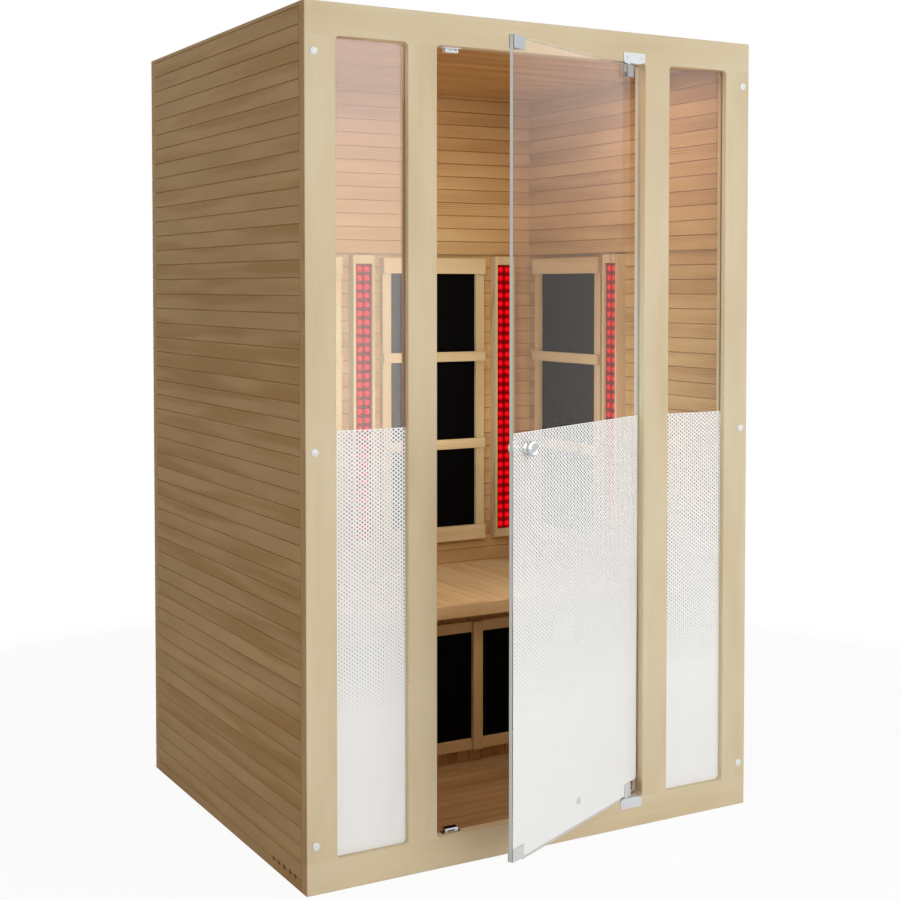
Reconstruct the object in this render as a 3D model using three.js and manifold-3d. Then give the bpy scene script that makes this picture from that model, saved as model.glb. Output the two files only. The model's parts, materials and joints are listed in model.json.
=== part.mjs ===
// Infrared sauna cabin for two people, in millimetres, +Z up.
// The origin is the centre of the underside. -Y is the glazed front, +X is on the right seen from there.
import * as THREE from "three";
import { mergeVertices } from "three/addons/utils/BufferGeometryUtils.js";
import Module from "manifold-3d";

const wasm = await Module();
wasm.setup();

// Cabin
const CABIN_WIDTH = 1200;
const CABIN_DEPTH = 1000;
const CABIN_HEIGHT = 1900;

// Wall, roof and floor panels
const SIDE_WALL = 24;
const BACK_WALL = 30;
const FLOOR_THICKNESS = 34;
const ROOF_THICKNESS = 30;
const ROOF_DROP = 8;
const LINING = 8;
const LINING_GAP = 4.7;

// Tongue-and-groove boards
const BOARD_PITCH = 38.1;
const GROOVE_WIDTH = 3;
const GROOVE_DEPTH = 2.5;

// Air inlets low on the left wall, and the cable entry in the back wall
const VENT_COUNT = 5;
const VENT_RADIUS = 5.5;
const VENT_PITCH = 30;
const VENT_DEPTH = 12;
const VENT_HEIGHT = 24;
const VENT_INSET = 63;
const CABLE_HOLE_RADIUS = 14;

// Front frame
const FRONT_THICKNESS = 30;
const RAIL_HEIGHT = 70;
const STILE_WIDTH = 72;
const POST_WIDTH = 72;
const WINDOW_WIDTH = 173;
const OPENING_RADIUS = 10;
const FRAME_EDGE = 1.5;

// Domed caps over the fasteners of the outer stiles
const CAP_RADIUS = 9.5;
const CAP_HEIGHT = 5;
const CAP_INSET = 21;
const CAP_END = 105.5;
const CAP_MIDDLE = 949;

// Window panes, beads and films
const REVEAL = 14;
const PANE_THICKNESS = 6;
const REBATE = 8;
const PANE_CLEARANCE = 1;
const FILM_THICKNESS = 0.6;
const FILM_CLEARANCE = 0.5;
const FILM_TOP = 992;

// Glass door, which stands ajar
const DOOR_THICKNESS = 10;
const DOOR_SIDE_GAP = 3;
const DOOR_TOP_GAP = 7;
const DOOR_BOTTOM_GAP = 11;
const DOOR_ANGLE = 26;
const DOOR_EDGE = 1;
const LEAF_GAP = 0.3;

// Pivot hinges
const PIVOT_INSET = 48;
const BRACKET_INSET = 4;
const BRACKET_WIDTH = 62;
const BRACKET_HEIGHT = 22;
const BRACKET_THICKNESS = 3;
const BRACKET_RADIUS = 3;
const LEG_DEPTH = 20;
const LEG_MARGIN = 15;
const LEG_CLEARANCE = 1;
const PIN_RADIUS = 3.5;
const PIN_CLEARANCE = 0.3;
const PIN_LENGTH = 12;
const COLLAR_RADIUS = 6;
const COLLAR_HEIGHT = 1;
const PIVOT_PLAY = 1;
const CLIP_WIDTH = 28;
const CLIP_HEIGHT = 28;
const CLIP_PLATE = 2.5;
const NOTCH_WIDTH = 20;
const NOTCH_HEIGHT = 16;

// Strike plates, catches and sweep seal
const STRIKE_WIDTH = 44;
const STRIKE_HEIGHT = 26;
const STRIKE_PLATE = 1.5;
const CATCH_WIDTH = 47;
const CATCH_BODY_WIDTH = 34;
const CATCH_HEIGHT = 12;
const CATCH_FLANGE = 2.5;
const CATCH_INSET = 21;
const CATCH_GAP = 0.7;
const CATCH_SLOT_WIDTH = 24;
const CATCH_SLOT_HEIGHT = 4;
const CATCH_SLOT_DEPTH = 5;
const SEAL_WIDTH = 8;
const SEAL_LIP = 2;
const SEAL_BODY = 4;
const SEAL_CLEARANCE = 1.5;
const SEAL_END_GAP = 2;
const SEAL_PIVOT_GAP = 16;

// Knobs and the round caps on the leaf
const KNOB_RADIUS = 17;
const KNOB_PROJECTION = 24;
const KNOB_BASE_RADIUS = 11;
const KNOB_BASE_HEIGHT = 3;
const KNOB_NECK_RADIUS = 8;
const KNOB_RIM = 5;
const KNOB_EDGE_INSET = 48;
const KNOB_BELOW_FILM = 35;
const STUD_RADIUS = 4;
const STUD_ENGAGEMENT = 8;
const STUD_CLEARANCE = 0.5;
const LEAF_CAP_RADIUS = 8.5;
const LEAF_CAP_HEIGHT = 3;
const LEAF_CAP_BELOW_FILM = 60;
const LEAF_CAP_ABOVE_EDGE = 53;

// Bench
const BENCH_HEIGHT = 473;
const BENCH_THICKNESS = 32;
const BENCH_DEPTH = 503;
const NOSING_THICKNESS = 20;
const SUPPORT_SETBACK = 78;
const SUPPORT_THICKNESS = 18;
const BENCH_EDGE = 2;

// Infrared heaters: rails over stiles, with the emitter between the stiles
const HEATER_ABOVE_BENCH = 77;
const HEATER_FROM_BACK = 53;
const HEATER_GAP = 31;
const HEATER_STILE = 28;
const HEATER_STILE_DEPTH = 16;
const HEATER_RAIL_DEPTH = 11;
const HEATER_TOP_RAIL = 45;
const HEATER_CROSS_RAIL = 28;
const HEATER_BOTTOM_RAIL = 43;
const HEATER_PANEL = 230;
const HEATER_PANELS = 3;
const HEATER_EDGE = 1.5;
const EMITTER_THICKNESS = 8;
const EMITTER_CLEARANCE = 1;
const CALF_FOOT_GAP = 33;
const CALF_HEAD_GAP = 30;

// Red-light strips
const STRIP_WIDTH = 68;
const STRIP_LENGTH = 841;
const STRIP_DEPTH = 30;
const STRIP_BEZEL = 8;
const STRIP_END = 24.5;
const STRIP_POCKET = 12;
const STRIP_EDGE = 1;
const STRIP_FROM_CORNER = 107;
const LAMP_PANEL_THICKNESS = 5;
const LAMP_PANEL_CLEARANCE = 0.5;
const LAMP_PITCH = 25.4;
const LAMP_SPACING = 26;
const LAMP_SIZE = 9;
const LAMP_HEIGHT = 1.5;

// Control panel inside the left wall and power box under the bench
const CONTROL_WIDTH = 180;
const CONTROL_HEIGHT = 120;
const CONTROL_THICKNESS = 14;
const CONTROL_RADIUS = 12;
const CONTROL_EDGE = 2;
const CONTROL_LEVEL = 1150;
const CONTROL_FROM_FRONT = 220;
const KEY_COUNT = 4;
const KEY_SIZE = 22;
const KEY_GAP = 14;
const KEY_RELIEF = 1;
const DISPLAY_HEIGHT = 40;
const POWER_BOX_WIDTH = 200;
const POWER_BOX_DEPTH = 100;
const POWER_BOX_HEIGHT = 120;
const POWER_BOX_RADIUS = 8;
const POWER_BOX_OFFSET = 300;

// Facets of round shapes
const ARC_STEPS = 3;
const ROUND_SIDES = 14;
const HOLE_SIDES = 12;
const LAMP_SIDES = 4;

// Planes that the pieces share
const halfWidth = CABIN_WIDTH / 2;
const front = -CABIN_DEPTH / 2;
const back = CABIN_DEPTH / 2;
const frameBack = front + FRONT_THICKNESS;
const sideFace = halfWidth - SIDE_WALL;
const liningFace = sideFace - LINING;
const backFace = back - BACK_WALL;
const roofTop = CABIN_HEIGHT - ROOF_DROP;
const ceiling = roofTop - ROOF_THICKNESS;
const openingBottom = RAIL_HEIGHT;
const openingTop = CABIN_HEIGHT - RAIL_HEIGHT;
const doorwayHalf = halfWidth - STILE_WIDTH - WINDOW_WIDTH - POST_WIDTH;
const windowCentre = halfWidth - STILE_WIDTH - WINDOW_WIDTH / 2;
const paneFront = front + REVEAL;
const paneBack = paneFront + PANE_THICKNESS;
const benchFront = backFace - BENCH_DEPTH;
const benchUnderside = BENCH_HEIGHT - BENCH_THICKNESS;
const supportFront = benchFront + SUPPORT_SETBACK;
const heaterBottom = BENCH_HEIGHT + HEATER_ABOVE_BENCH;
const heaterRails = HEATER_TOP_RAIL + HEATER_BOTTOM_RAIL + (HEATER_PANELS - 1) * HEATER_CROSS_RAIL;
const heaterLength = heaterRails + HEATER_PANELS * HEATER_PANEL;
const outerStrip = sideFace - STRIP_FROM_CORNER;
const heaterWidth = outerStrip - STRIP_WIDTH - 2 * HEATER_GAP;
const sideHeater = backFace - HEATER_FROM_BACK - heaterWidth / 2;
const sideStrip = sideHeater - heaterWidth / 2 - HEATER_GAP - STRIP_WIDTH / 2;
const liningBottom = heaterBottom + Math.max(heaterLength, STRIP_LENGTH) + LINING_GAP;

// Door leaf in its own frame: the pivot axis at x = 0 and y = 0, closed along -x
const pivotX = doorwayHalf - PIVOT_INSET;
const pivotY = front + DOOR_THICKNESS / 2;
const heel = PIVOT_INSET - DOOR_SIDE_GAP;
const freeEdge = heel - (2 * doorwayHalf - 2 * DOOR_SIDE_GAP);
const leafTop = openingTop - DOOR_TOP_GAP;
const leafBottom = openingBottom + DOOR_BOTTOM_GAP;
const leafFace = DOOR_THICKNESS / 2;
const leafCentre = (heel + freeEdge) / 2;
const knobX = freeEdge + KNOB_EDGE_INSET;
const knobZ = FILM_TOP - KNOB_BELOW_FILM;
const leafCapLevels = {
  upper: FILM_TOP - LEAF_CAP_BELOW_FILM,
  lower: leafBottom + LEAF_CAP_ABOVE_EDGE,
};

// Finishes: colour, roughness and metalness
const finishes = {
  hemlock: [0xd2c19d, 0.6, 0],
  boards: [0xc9ad7c, 0.65, 0],
  lining: [0xb98a55, 0.65, 0],
  glass: [0xc9b7a8, 0.05, 0],
  film: [0xe8e8e6, 0.45, 0],
  carbon: [0x0a0a0b, 0.4, 0],
  lamps: [0xd0101c, 0.35, 0],
  chrome: [0xd8d9da, 0.15, 1],
  white: [0xe9e9e7, 0.35, 0],
  seal: [0xa8a8a6, 0.5, 0],
  black: [0x1c1c1e, 0.45, 0],
};

const cabin = new THREE.Group();
cabin.name = "infrared_sauna_cabin";

function piece(parent, name, geometry, finish) {
  const [color, roughness, metalness] = finishes[finish];
  const mesh = new THREE.Mesh(geometry, new THREE.MeshStandardMaterial({ color, roughness, metalness }));
  mesh.name = name;
  parent.add(mesh);
  return mesh;
}

// A closed geometry as a solid that can be joined or cut
function solid(geometry) {
  const bare = geometry.clone();
  bare.deleteAttribute("normal");
  bare.deleteAttribute("uv");
  const merged = mergeVertices(bare);
  const vertProperties = new Float32Array(merged.attributes.position.array);
  const triVerts = new Uint32Array(merged.index.array);
  return new wasm.Manifold(new wasm.Mesh({ numProp: 3, vertProperties, triVerts }));
}

function geometryOf(body) {
  const mesh = body.getMesh();
  const geometry = new THREE.BufferGeometry();
  geometry.setAttribute("position", new THREE.BufferAttribute(mesh.vertProperties, mesh.numProp));
  geometry.setIndex(new THREE.BufferAttribute(mesh.triVerts, 1));
  const faceted = geometry.toNonIndexed();
  faceted.computeVertexNormals();
  return faceted;
}

function join(geometries) {
  return geometryOf(geometries.map(solid).reduce((whole, next) => whole.add(next)));
}

function cut(geometry, tools) {
  return geometryOf(tools.map(solid).reduce((whole, tool) => whole.subtract(tool), solid(geometry)));
}

// Outline in the plane across an axis: (y, z) across x, (x, z) across y, (x, y) across z
const acrossAxis = {
  x: [new THREE.Vector3(0, 1, 0), new THREE.Vector3(0, 0, 1)],
  y: [new THREE.Vector3(1, 0, 0), new THREE.Vector3(0, 0, 1)],
  z: [new THREE.Vector3(1, 0, 0), new THREE.Vector3(0, 1, 0)],
};

function extrude(shape, axis, from, to, edge = 0) {
  const [across, up] = acrossAxis[axis];
  const along = new THREE.Vector3().crossVectors(across, up);
  const geometry = new THREE.ExtrudeGeometry(shape, {
    depth: to - from - 2 * edge,
    bevelEnabled: edge > 0,
    bevelThickness: edge,
    bevelSize: edge,
    bevelOffset: -edge,
    bevelSegments: 1,
    curveSegments: ARC_STEPS,
  });
  const forward = along[axis] > 0;
  const start = new THREE.Vector3();
  start[axis] = forward ? from + edge : to - edge;
  const turn = new THREE.Matrix4().makeBasis(across, up, along).setPosition(start);
  return geometry.applyMatrix4(turn);
}

function rectangle(left, right, bottom, top, radius = 0, outline = new THREE.Shape()) {
  if (radius === 0) {
    outline.moveTo(left, bottom);
    outline.lineTo(right, bottom);
    outline.lineTo(right, top);
    outline.lineTo(left, top);
    outline.closePath();
    return outline;
  }
  const quarter = Math.PI / 2;
  outline.moveTo(left + radius, bottom);
  outline.lineTo(right - radius, bottom);
  outline.absarc(right - radius, bottom + radius, radius, -quarter, 0);
  outline.lineTo(right, top - radius);
  outline.absarc(right - radius, top - radius, radius, 0, quarter);
  outline.lineTo(left + radius, top);
  outline.absarc(left + radius, top - radius, radius, quarter, 2 * quarter);
  outline.lineTo(left, bottom + radius);
  outline.absarc(left + radius, bottom + radius, radius, 2 * quarter, 3 * quarter);
  return outline;
}

function block(x, y, z, edge = 0) {
  const longest = { x: x[1] - x[0], y: y[1] - y[0], z: z[1] - z[0] };
  if (longest.x >= longest.y && longest.x >= longest.z) {
    return extrude(rectangle(y[0], y[1], z[0], z[1]), "x", x[0], x[1], edge);
  }
  if (longest.z >= longest.y) {
    return extrude(rectangle(x[0], x[1], y[0], y[1]), "z", z[0], z[1], edge);
  }
  return extrude(rectangle(x[0], x[1], z[0], z[1]), "y", y[0], y[1], edge);
}

// Circle as a polygon whose flats touch the true radius, so that a round piece of that radius fits inside
function circle(radius, across, up, outline = new THREE.Shape()) {
  const corner = radius / Math.cos(Math.PI / HOLE_SIDES);
  for (let side = 0; side < HOLE_SIDES; side += 1) {
    const angle = (2 * Math.PI * side) / HOLE_SIDES;
    const x = across + corner * Math.cos(angle);
    const y = up + corner * Math.sin(angle);
    if (side === 0) {
      outline.moveTo(x, y);
    } else {
      outline.lineTo(x, y);
    }
  }
  outline.closePath();
  return outline;
}

function drill(radius, axis, from, to, across, up) {
  return extrude(circle(radius, across, up), axis, from, to);
}

// Solid of revolution round the Y axis from points of radius and y, listed either way round
function revolve(points) {
  const area = points.reduce((sum, point, i) => sum + point.cross(points[(i + 1) % points.length]), 0);
  const ordered = area > 0 ? points : [...points].reverse();
  return new THREE.LatheGeometry(ordered, ROUND_SIDES);
}

// Board face from start to end with a V groove at each joint line; place maps distance and depth to a point
function boardFace(start, end, lines, place) {
  const way = Math.sign(end - start);
  const low = Math.min(start, end) + GROOVE_WIDTH;
  const high = Math.max(start, end) - GROOVE_WIDTH;
  const joints = lines.filter((line) => line > low && line < high).sort((a, b) => way * (a - b));
  const points = [place(start, 0)];
  for (const joint of joints) {
    points.push(place(joint - (way * GROOVE_WIDTH) / 2, 0));
    points.push(place(joint, GROOVE_DEPTH));
    points.push(place(joint + (way * GROOVE_WIDTH) / 2, 0));
  }
  points.push(place(end, 0));
  return points;
}

function boardLines(origin, low, high) {
  const first = Math.ceil((low - origin) / BOARD_PITCH);
  const last = Math.floor((high - origin) / BOARD_PITCH);
  return Array.from({ length: last - first + 1 }, (_, i) => origin + (first + i) * BOARD_PITCH);
}

const wallLines = boardLines(liningBottom, 0, CABIN_HEIGHT);
const point = (x, y) => new THREE.Vector2(x, y);

// Side wall: boards outside, lower boards inside, and the lining above them that carries the roof
function sideWall(side) {
  const outer = side * halfWidth;
  const inner = side * sideFace;
  const lined = side * liningFace;
  const outline = [
    ...boardFace(0, CABIN_HEIGHT, wallLines, (z, depth) => point(outer - side * depth, z)),
    point(inner, CABIN_HEIGHT),
    point(inner, ceiling),
    ...boardFace(ceiling, liningBottom, wallLines, (z, depth) => point(lined + side * depth, z)),
    ...boardFace(liningBottom, 0, wallLines, (z, depth) => point(inner + side * depth, z)),
  ];
  return extrude(new THREE.Shape(outline), "y", frameBack, backFace);
}

function vents() {
  const first = front + VENT_INSET;
  const bottom = -halfWidth + VENT_DEPTH;
  return Array.from({ length: VENT_COUNT }, (_, i) =>
    drill(VENT_RADIUS, "x", bottom - 2 * VENT_DEPTH, bottom, first + i * VENT_PITCH, VENT_HEIGHT),
  );
}

piece(cabin, "left_wall_panel", cut(sideWall(-1), vents()), "boards");
piece(cabin, "right_wall_panel", sideWall(1), "boards");

// Back wall: a full-width panel with its lining between the side walls
function backWall() {
  const core = [
    ...boardFace(0, CABIN_HEIGHT, wallLines, (z, depth) => point(back - depth, z)),
    point(backFace, CABIN_HEIGHT),
    ...boardFace(liningBottom, 0, wallLines, (z, depth) => point(backFace + depth, z)),
  ];
  const lining = [
    point(backFace, liningBottom),
    point(backFace, ceiling),
    ...boardFace(ceiling, liningBottom, wallLines, (z, depth) => point(backFace - LINING + depth, z)),
  ];
  const panel = join([
    extrude(new THREE.Shape(core), "x", -halfWidth, halfWidth),
    extrude(new THREE.Shape(lining), "x", -liningFace, liningFace),
  ]);
  const entry = FLOOR_THICKNESS + POWER_BOX_HEIGHT / 2;
  const past = BACK_WALL / 2;
  return cut(panel, [drill(CABLE_HOLE_RADIUS, "y", backFace - past, back + past, -POWER_BOX_OFFSET, entry)]);
}

piece(cabin, "back_wall_panel", backWall(), "boards");

// Floor and roof, boarded on the inside from side to side
function floorPanel() {
  const lines = boardLines(frameBack, frameBack, backFace);
  const top = boardFace(frameBack, backFace, lines, (y, depth) => point(y, FLOOR_THICKNESS - depth));
  const outline = new THREE.Shape([...top, point(backFace, 0), point(frameBack, 0)]);
  return extrude(outline, "x", -sideFace, sideFace);
}

function roofPanel() {
  const lines = boardLines(frameBack, frameBack, backFace);
  const underside = boardFace(frameBack, backFace, lines, (y, depth) => point(y, ceiling + depth));
  const outline = new THREE.Shape([...underside, point(backFace, roofTop), point(frameBack, roofTop)]);
  return extrude(outline, "x", -sideFace, sideFace);
}

piece(cabin, "floor_panel", floorPanel(), "lining");
piece(cabin, "roof_panel", roofPanel(), "lining");

// Front frame: one routed panel with the doorway, two windows and a glazing rebate behind each window
const windows = { left: -windowCentre, right: windowCentre };

function windowOutline(centre, grow, radius, outline) {
  const reach = WINDOW_WIDTH / 2 + grow;
  return rectangle(centre - reach, centre + reach, openingBottom - grow, openingTop + grow, radius, outline);
}

function frontFrame() {
  const face = rectangle(-halfWidth, halfWidth, 0, CABIN_HEIGHT);
  const doorway = new THREE.Path();
  face.holes.push(rectangle(-doorwayHalf, doorwayHalf, openingBottom, openingTop, OPENING_RADIUS, doorway));
  for (const centre of Object.values(windows)) {
    face.holes.push(windowOutline(centre, 0, OPENING_RADIUS, new THREE.Path()));
  }
  const panel = extrude(face, "y", front, frameBack, FRAME_EDGE);
  const past = frameBack + REBATE;
  const rebates = Object.values(windows).map((centre) =>
    extrude(windowOutline(centre, REBATE, 0), "y", paneFront, past),
  );
  return cut(panel, rebates);
}

piece(cabin, "front_frame", frontFrame(), "hemlock");

function windowBead(centre) {
  const ring = windowOutline(centre, REBATE, 0);
  ring.holes.push(windowOutline(centre, 0, OPENING_RADIUS, new THREE.Path()));
  return extrude(ring, "y", paneBack, frameBack);
}

function windowPane(centre) {
  return extrude(windowOutline(centre, REBATE - PANE_CLEARANCE, 0), "y", paneFront, paneBack);
}

function windowFilm(centre) {
  const reach = WINDOW_WIDTH / 2 - FILM_CLEARANCE;
  const bottom = openingBottom + FILM_CLEARANCE;
  const radius = OPENING_RADIUS;
  const quarter = Math.PI / 2;
  const outline = new THREE.Shape();
  outline.moveTo(centre - reach, FILM_TOP);
  outline.lineTo(centre - reach, bottom + radius);
  outline.absarc(centre - reach + radius, bottom + radius, radius, 2 * quarter, 3 * quarter);
  outline.lineTo(centre + reach - radius, bottom);
  outline.absarc(centre + reach - radius, bottom + radius, radius, -quarter, 0);
  outline.lineTo(centre + reach, FILM_TOP);
  outline.closePath();
  return extrude(outline, "y", paneFront - FILM_THICKNESS, paneFront);
}

for (const [side, centre] of Object.entries(windows)) {
  piece(cabin, `${side}_window_glass`, windowPane(centre), "glass");
  piece(cabin, `${side}_window_film`, windowFilm(centre), "film");
  piece(cabin, `${side}_window_bead`, windowBead(centre), "hemlock");
}

// Domed caps, three on each outer stile
function dome(radius, height) {
  const curve = new THREE.EllipseCurve(0, 0, radius, height, 0, Math.PI / 2);
  return curve.getPoints(ARC_STEPS);
}

function stileCap() {
  const profile = dome(CAP_RADIUS, CAP_HEIGHT).map((p) => point(Math.max(p.x, 0), -p.y));
  profile[profile.length - 1].x = 0;
  return revolve([point(0, 0), ...profile]);
}

const capLevels = { bottom: CAP_END, middle: CAP_MIDDLE, top: CABIN_HEIGHT - CAP_END };
for (const [side, sign] of [["left", -1], ["right", 1]]) {
  for (const [place, level] of Object.entries(capLevels)) {
    const cap = piece(cabin, `cap_${side}_${place}`, stileCap(), "white");
    cap.position.set(sign * (halfWidth - CAP_INSET), front, level);
  }
}

// Door hinges, the upper one at way = 1 and the lower one at way = -1
const hingeEnds = {
  top: { way: 1, opening: openingTop, leafEdge: leafTop },
  bottom: { way: -1, opening: openingBottom, leafEdge: leafBottom },
};

// Interval between two levels, given in either order
const span = (a, b) => [Math.min(a, b), Math.max(a, b)];

function hingeBracket({ way, opening }) {
  const [low, high] = span(opening, opening + way * BRACKET_HEIGHT);
  const right = doorwayHalf - BRACKET_INSET;
  const plate = extrude(
    rectangle(right - BRACKET_WIDTH, right, low, high, BRACKET_RADIUS),
    "y",
    front - BRACKET_THICKNESS,
    front,
  );
  const legSides = [pivotX - LEG_MARGIN, doorwayHalf - OPENING_RADIUS - LEG_CLEARANCE];
  const inside = opening - way * BRACKET_THICKNESS;
  const leg = block(
    legSides,
    [front - BRACKET_THICKNESS, front + LEG_DEPTH],
    span(inside, opening),
  );
  const heelBlock = block(
    legSides,
    [front - BRACKET_THICKNESS, front],
    span(inside, opening + way * BRACKET_RADIUS),
  );
  const [from, to] = span(inside - way * PIVOT_PLAY, opening + way * PIVOT_PLAY);
  const bore = drill(PIN_RADIUS + PIN_CLEARANCE, "z", from, to, pivotX, pivotY);
  return cut(join([plate, leg, heelBlock]), [bore]);
}

function hingePin({ way, opening }) {
  const seat = opening - way * BRACKET_THICKNESS;
  const shoulder = seat - way * COLLAR_HEIGHT;
  const tip = shoulder - way * (PIVOT_PLAY + PIN_LENGTH);
  const profile = [
    point(0, opening),
    point(PIN_RADIUS, opening),
    point(PIN_RADIUS, seat),
    point(COLLAR_RADIUS, seat),
    point(COLLAR_RADIUS, shoulder),
    point(PIN_RADIUS, shoulder),
    point(PIN_RADIUS, tip),
    point(0, tip),
  ];
  return revolve(profile).rotateX(Math.PI / 2);
}

for (const [place, end] of Object.entries(hingeEnds)) {
  piece(cabin, `${place}_hinge_bracket`, hingeBracket(end), "white");
  const pin = piece(cabin, `${place}_hinge_pin`, hingePin(end), "chrome");
  pin.position.set(pivotX, pivotY, 0);
}

// Magnetic catches in the reveal behind the closed leaf's strike plates
function magneticCatch({ way, opening }) {
  const middle = -doorwayHalf + CATCH_INSET + CATCH_WIDTH / 2;
  const face = front + DOOR_THICKNESS + LEAF_GAP + STRIKE_PLATE + CATCH_GAP;
  const tail = frameBack - CATCH_FLANGE;
  const bodyEnd = opening - way * CATCH_HEIGHT;
  const across = (width) => [middle - width / 2, middle + width / 2];
  const flange = block(across(CATCH_WIDTH), [face, tail], span(opening, opening - way * CATCH_FLANGE));
  const body = block(across(CATCH_BODY_WIDTH), [face, tail], span(opening, bodyEnd), STRIKE_PLATE);
  const slotLow = opening - way * (CATCH_HEIGHT - CATCH_SLOT_HEIGHT) / 2;
  const slotHigh = slotLow - way * CATCH_SLOT_HEIGHT;
  const slot = block(
    across(CATCH_SLOT_WIDTH),
    [face - CATCH_SLOT_DEPTH, face + CATCH_SLOT_DEPTH],
    span(slotLow, slotHigh),
  );
  return cut(join([flange, body]), [slot]);
}

piece(cabin, "top_catch", magneticCatch(hingeEnds.top), "white");
piece(cabin, "bottom_catch", magneticCatch(hingeEnds.bottom), "chrome");

// Bench: boards from front to back, a plain nosing, and a support boarded upright
function benchSeat() {
  const lines = boardLines(0, -sideFace, sideFace);
  const top = boardFace(-sideFace, sideFace, lines, (x, depth) => point(x, BENCH_HEIGHT - depth));
  const underside = [point(sideFace, benchUnderside), point(-sideFace, benchUnderside)];
  return extrude(new THREE.Shape([...top, ...underside]), "y", benchFront + NOSING_THICKNESS, backFace);
}

function benchSupport() {
  const lines = boardLines(0, -sideFace, sideFace);
  const face = boardFace(-sideFace, sideFace, lines, (x, depth) => point(x, supportFront + depth));
  const rear = supportFront + SUPPORT_THICKNESS;
  const outline = new THREE.Shape([...face, point(sideFace, rear), point(-sideFace, rear)]);
  return extrude(outline, "z", FLOOR_THICKNESS, benchUnderside);
}

const nosing = block(
  [-sideFace, sideFace],
  [benchFront, benchFront + NOSING_THICKNESS],
  [benchUnderside, BENCH_HEIGHT],
  BENCH_EDGE,
);
piece(cabin, "bench_seat", benchSeat(), "lining");
piece(cabin, "bench_nosing", nosing, "lining");
piece(cabin, "bench_support", benchSupport(), "lining");

// Heater in its own frame: back on y = 0, facing -y, centred on x = 0, standing up from z = 0
function heater(name, width, length) {
  const group = new THREE.Group();
  const reach = width / 2;
  const open = reach - HEATER_STILE;
  const railBack = -HEATER_STILE_DEPTH;
  const bars = [-1, 1].map((side) =>
    block(span(side * open, side * reach), [railBack, 0], [0, length], HEATER_EDGE),
  );
  const rail = (low, high) =>
    block([-reach, reach], [railBack - HEATER_RAIL_DEPTH, railBack + HEATER_EDGE], [low, high], HEATER_EDGE);
  bars.push(rail(0, HEATER_BOTTOM_RAIL));
  for (let i = 1; i < HEATER_PANELS; i += 1) {
    const low = HEATER_BOTTOM_RAIL + i * HEATER_PANEL + (i - 1) * HEATER_CROSS_RAIL;
    bars.push(rail(low, low + HEATER_CROSS_RAIL));
  }
  bars.push(rail(length - HEATER_TOP_RAIL, length));
  const half = open - EMITTER_CLEARANCE;
  const ends = [EMITTER_CLEARANCE, length - EMITTER_CLEARANCE];
  const emitter = block([-half, half], [-EMITTER_THICKNESS, 0], ends);
  piece(group, `${name}_heater_guard`, join(bars), "hemlock");
  piece(group, `${name}_heater_emitter`, emitter, "carbon");
  cabin.add(group);
  return group;
}

// Red-light strip in the same frame: a housing with a pocket, and a lamp panel on the pocket's floor
function lampPanel(width, length) {
  const floor = -STRIP_DEPTH + STRIP_POCKET;
  const face = floor - LAMP_PANEL_THICKNESS;
  const low = (STRIP_LENGTH - length) / 2;
  const board = block([-width / 2, width / 2], [face, floor], [low, low + length]);
  const rows = Math.floor((length - LAMP_SIZE) / LAMP_PITCH) + 1;
  const first = (STRIP_LENGTH - (rows - 1) * LAMP_PITCH) / 2;
  const lamps = [];
  for (let row = 0; row < rows; row += 1) {
    for (const side of [-1, 1]) {
      const lens = new THREE.ConeGeometry(Math.SQRT2 * LAMP_SIZE, 2 * LAMP_HEIGHT, LAMP_SIDES);
      lens.rotateX(Math.PI).rotateY(Math.PI / LAMP_SIDES);
      lamps.push(lens.translate((side * LAMP_SPACING) / 2, face, first + row * LAMP_PITCH));
    }
  }
  return join([board, ...lamps]);
}

function lightStrip(name) {
  const group = new THREE.Group();
  const reach = STRIP_WIDTH / 2;
  const open = reach - STRIP_BEZEL;
  const pocketFloor = -STRIP_DEPTH + STRIP_POCKET;
  const pocketFront = -STRIP_DEPTH - STRIP_POCKET;
  const pocket = block([-open, open], [pocketFront, pocketFloor], [STRIP_END, STRIP_LENGTH - STRIP_END]);
  const box = block([-reach, reach], [-STRIP_DEPTH, 0], [0, STRIP_LENGTH], STRIP_EDGE);
  const panelWidth = 2 * (open - LAMP_PANEL_CLEARANCE);
  const panelLength = STRIP_LENGTH - 2 * (STRIP_END + LAMP_PANEL_CLEARANCE);
  piece(group, `${name}_strip_housing`, cut(box, [pocket]), "hemlock");
  piece(group, `${name}_strip_lamps`, lampPanel(panelWidth, panelLength), "lamps");
  cabin.add(group);
  return group;
}

// Turn that makes a fitting on the back wall face in from a side wall
const quarterTurn = Math.PI / 2;
const heaterCentre = outerStrip / 2;
const fittings = [
  { name: "back_left", x: -heaterCentre, y: backFace, turn: 0, make: "heater" },
  { name: "back_right", x: heaterCentre, y: backFace, turn: 0, make: "heater" },
  { name: "left", x: -sideFace, y: sideHeater, turn: quarterTurn, make: "heater" },
  { name: "right", x: sideFace, y: sideHeater, turn: -quarterTurn, make: "heater" },
  { name: "back_left", x: -outerStrip, y: backFace, turn: 0, make: "strip" },
  { name: "back_centre", x: 0, y: backFace, turn: 0, make: "strip" },
  { name: "back_right", x: outerStrip, y: backFace, turn: 0, make: "strip" },
  { name: "left", x: -sideFace, y: sideStrip, turn: quarterTurn, make: "strip" },
  { name: "right", x: sideFace, y: sideStrip, turn: -quarterTurn, make: "strip" },
];

for (const { name, x, y, turn, make } of fittings) {
  const group = make === "heater" ? heater(name, heaterWidth, heaterLength) : lightStrip(name);
  group.position.set(x, y, heaterBottom);
  group.rotation.z = turn;
}

// Calf heater on the bench support: the same build laid on its side to fill the height there
const calfBottom = FLOOR_THICKNESS + CALF_FOOT_GAP;
const calfTop = benchUnderside - CALF_HEAD_GAP;
const calf = heater("calf", calfTop - calfBottom, heaterLength);
calf.position.set(-heaterLength / 2, supportFront, (calfBottom + calfTop) / 2);
calf.rotation.y = quarterTurn;

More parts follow.
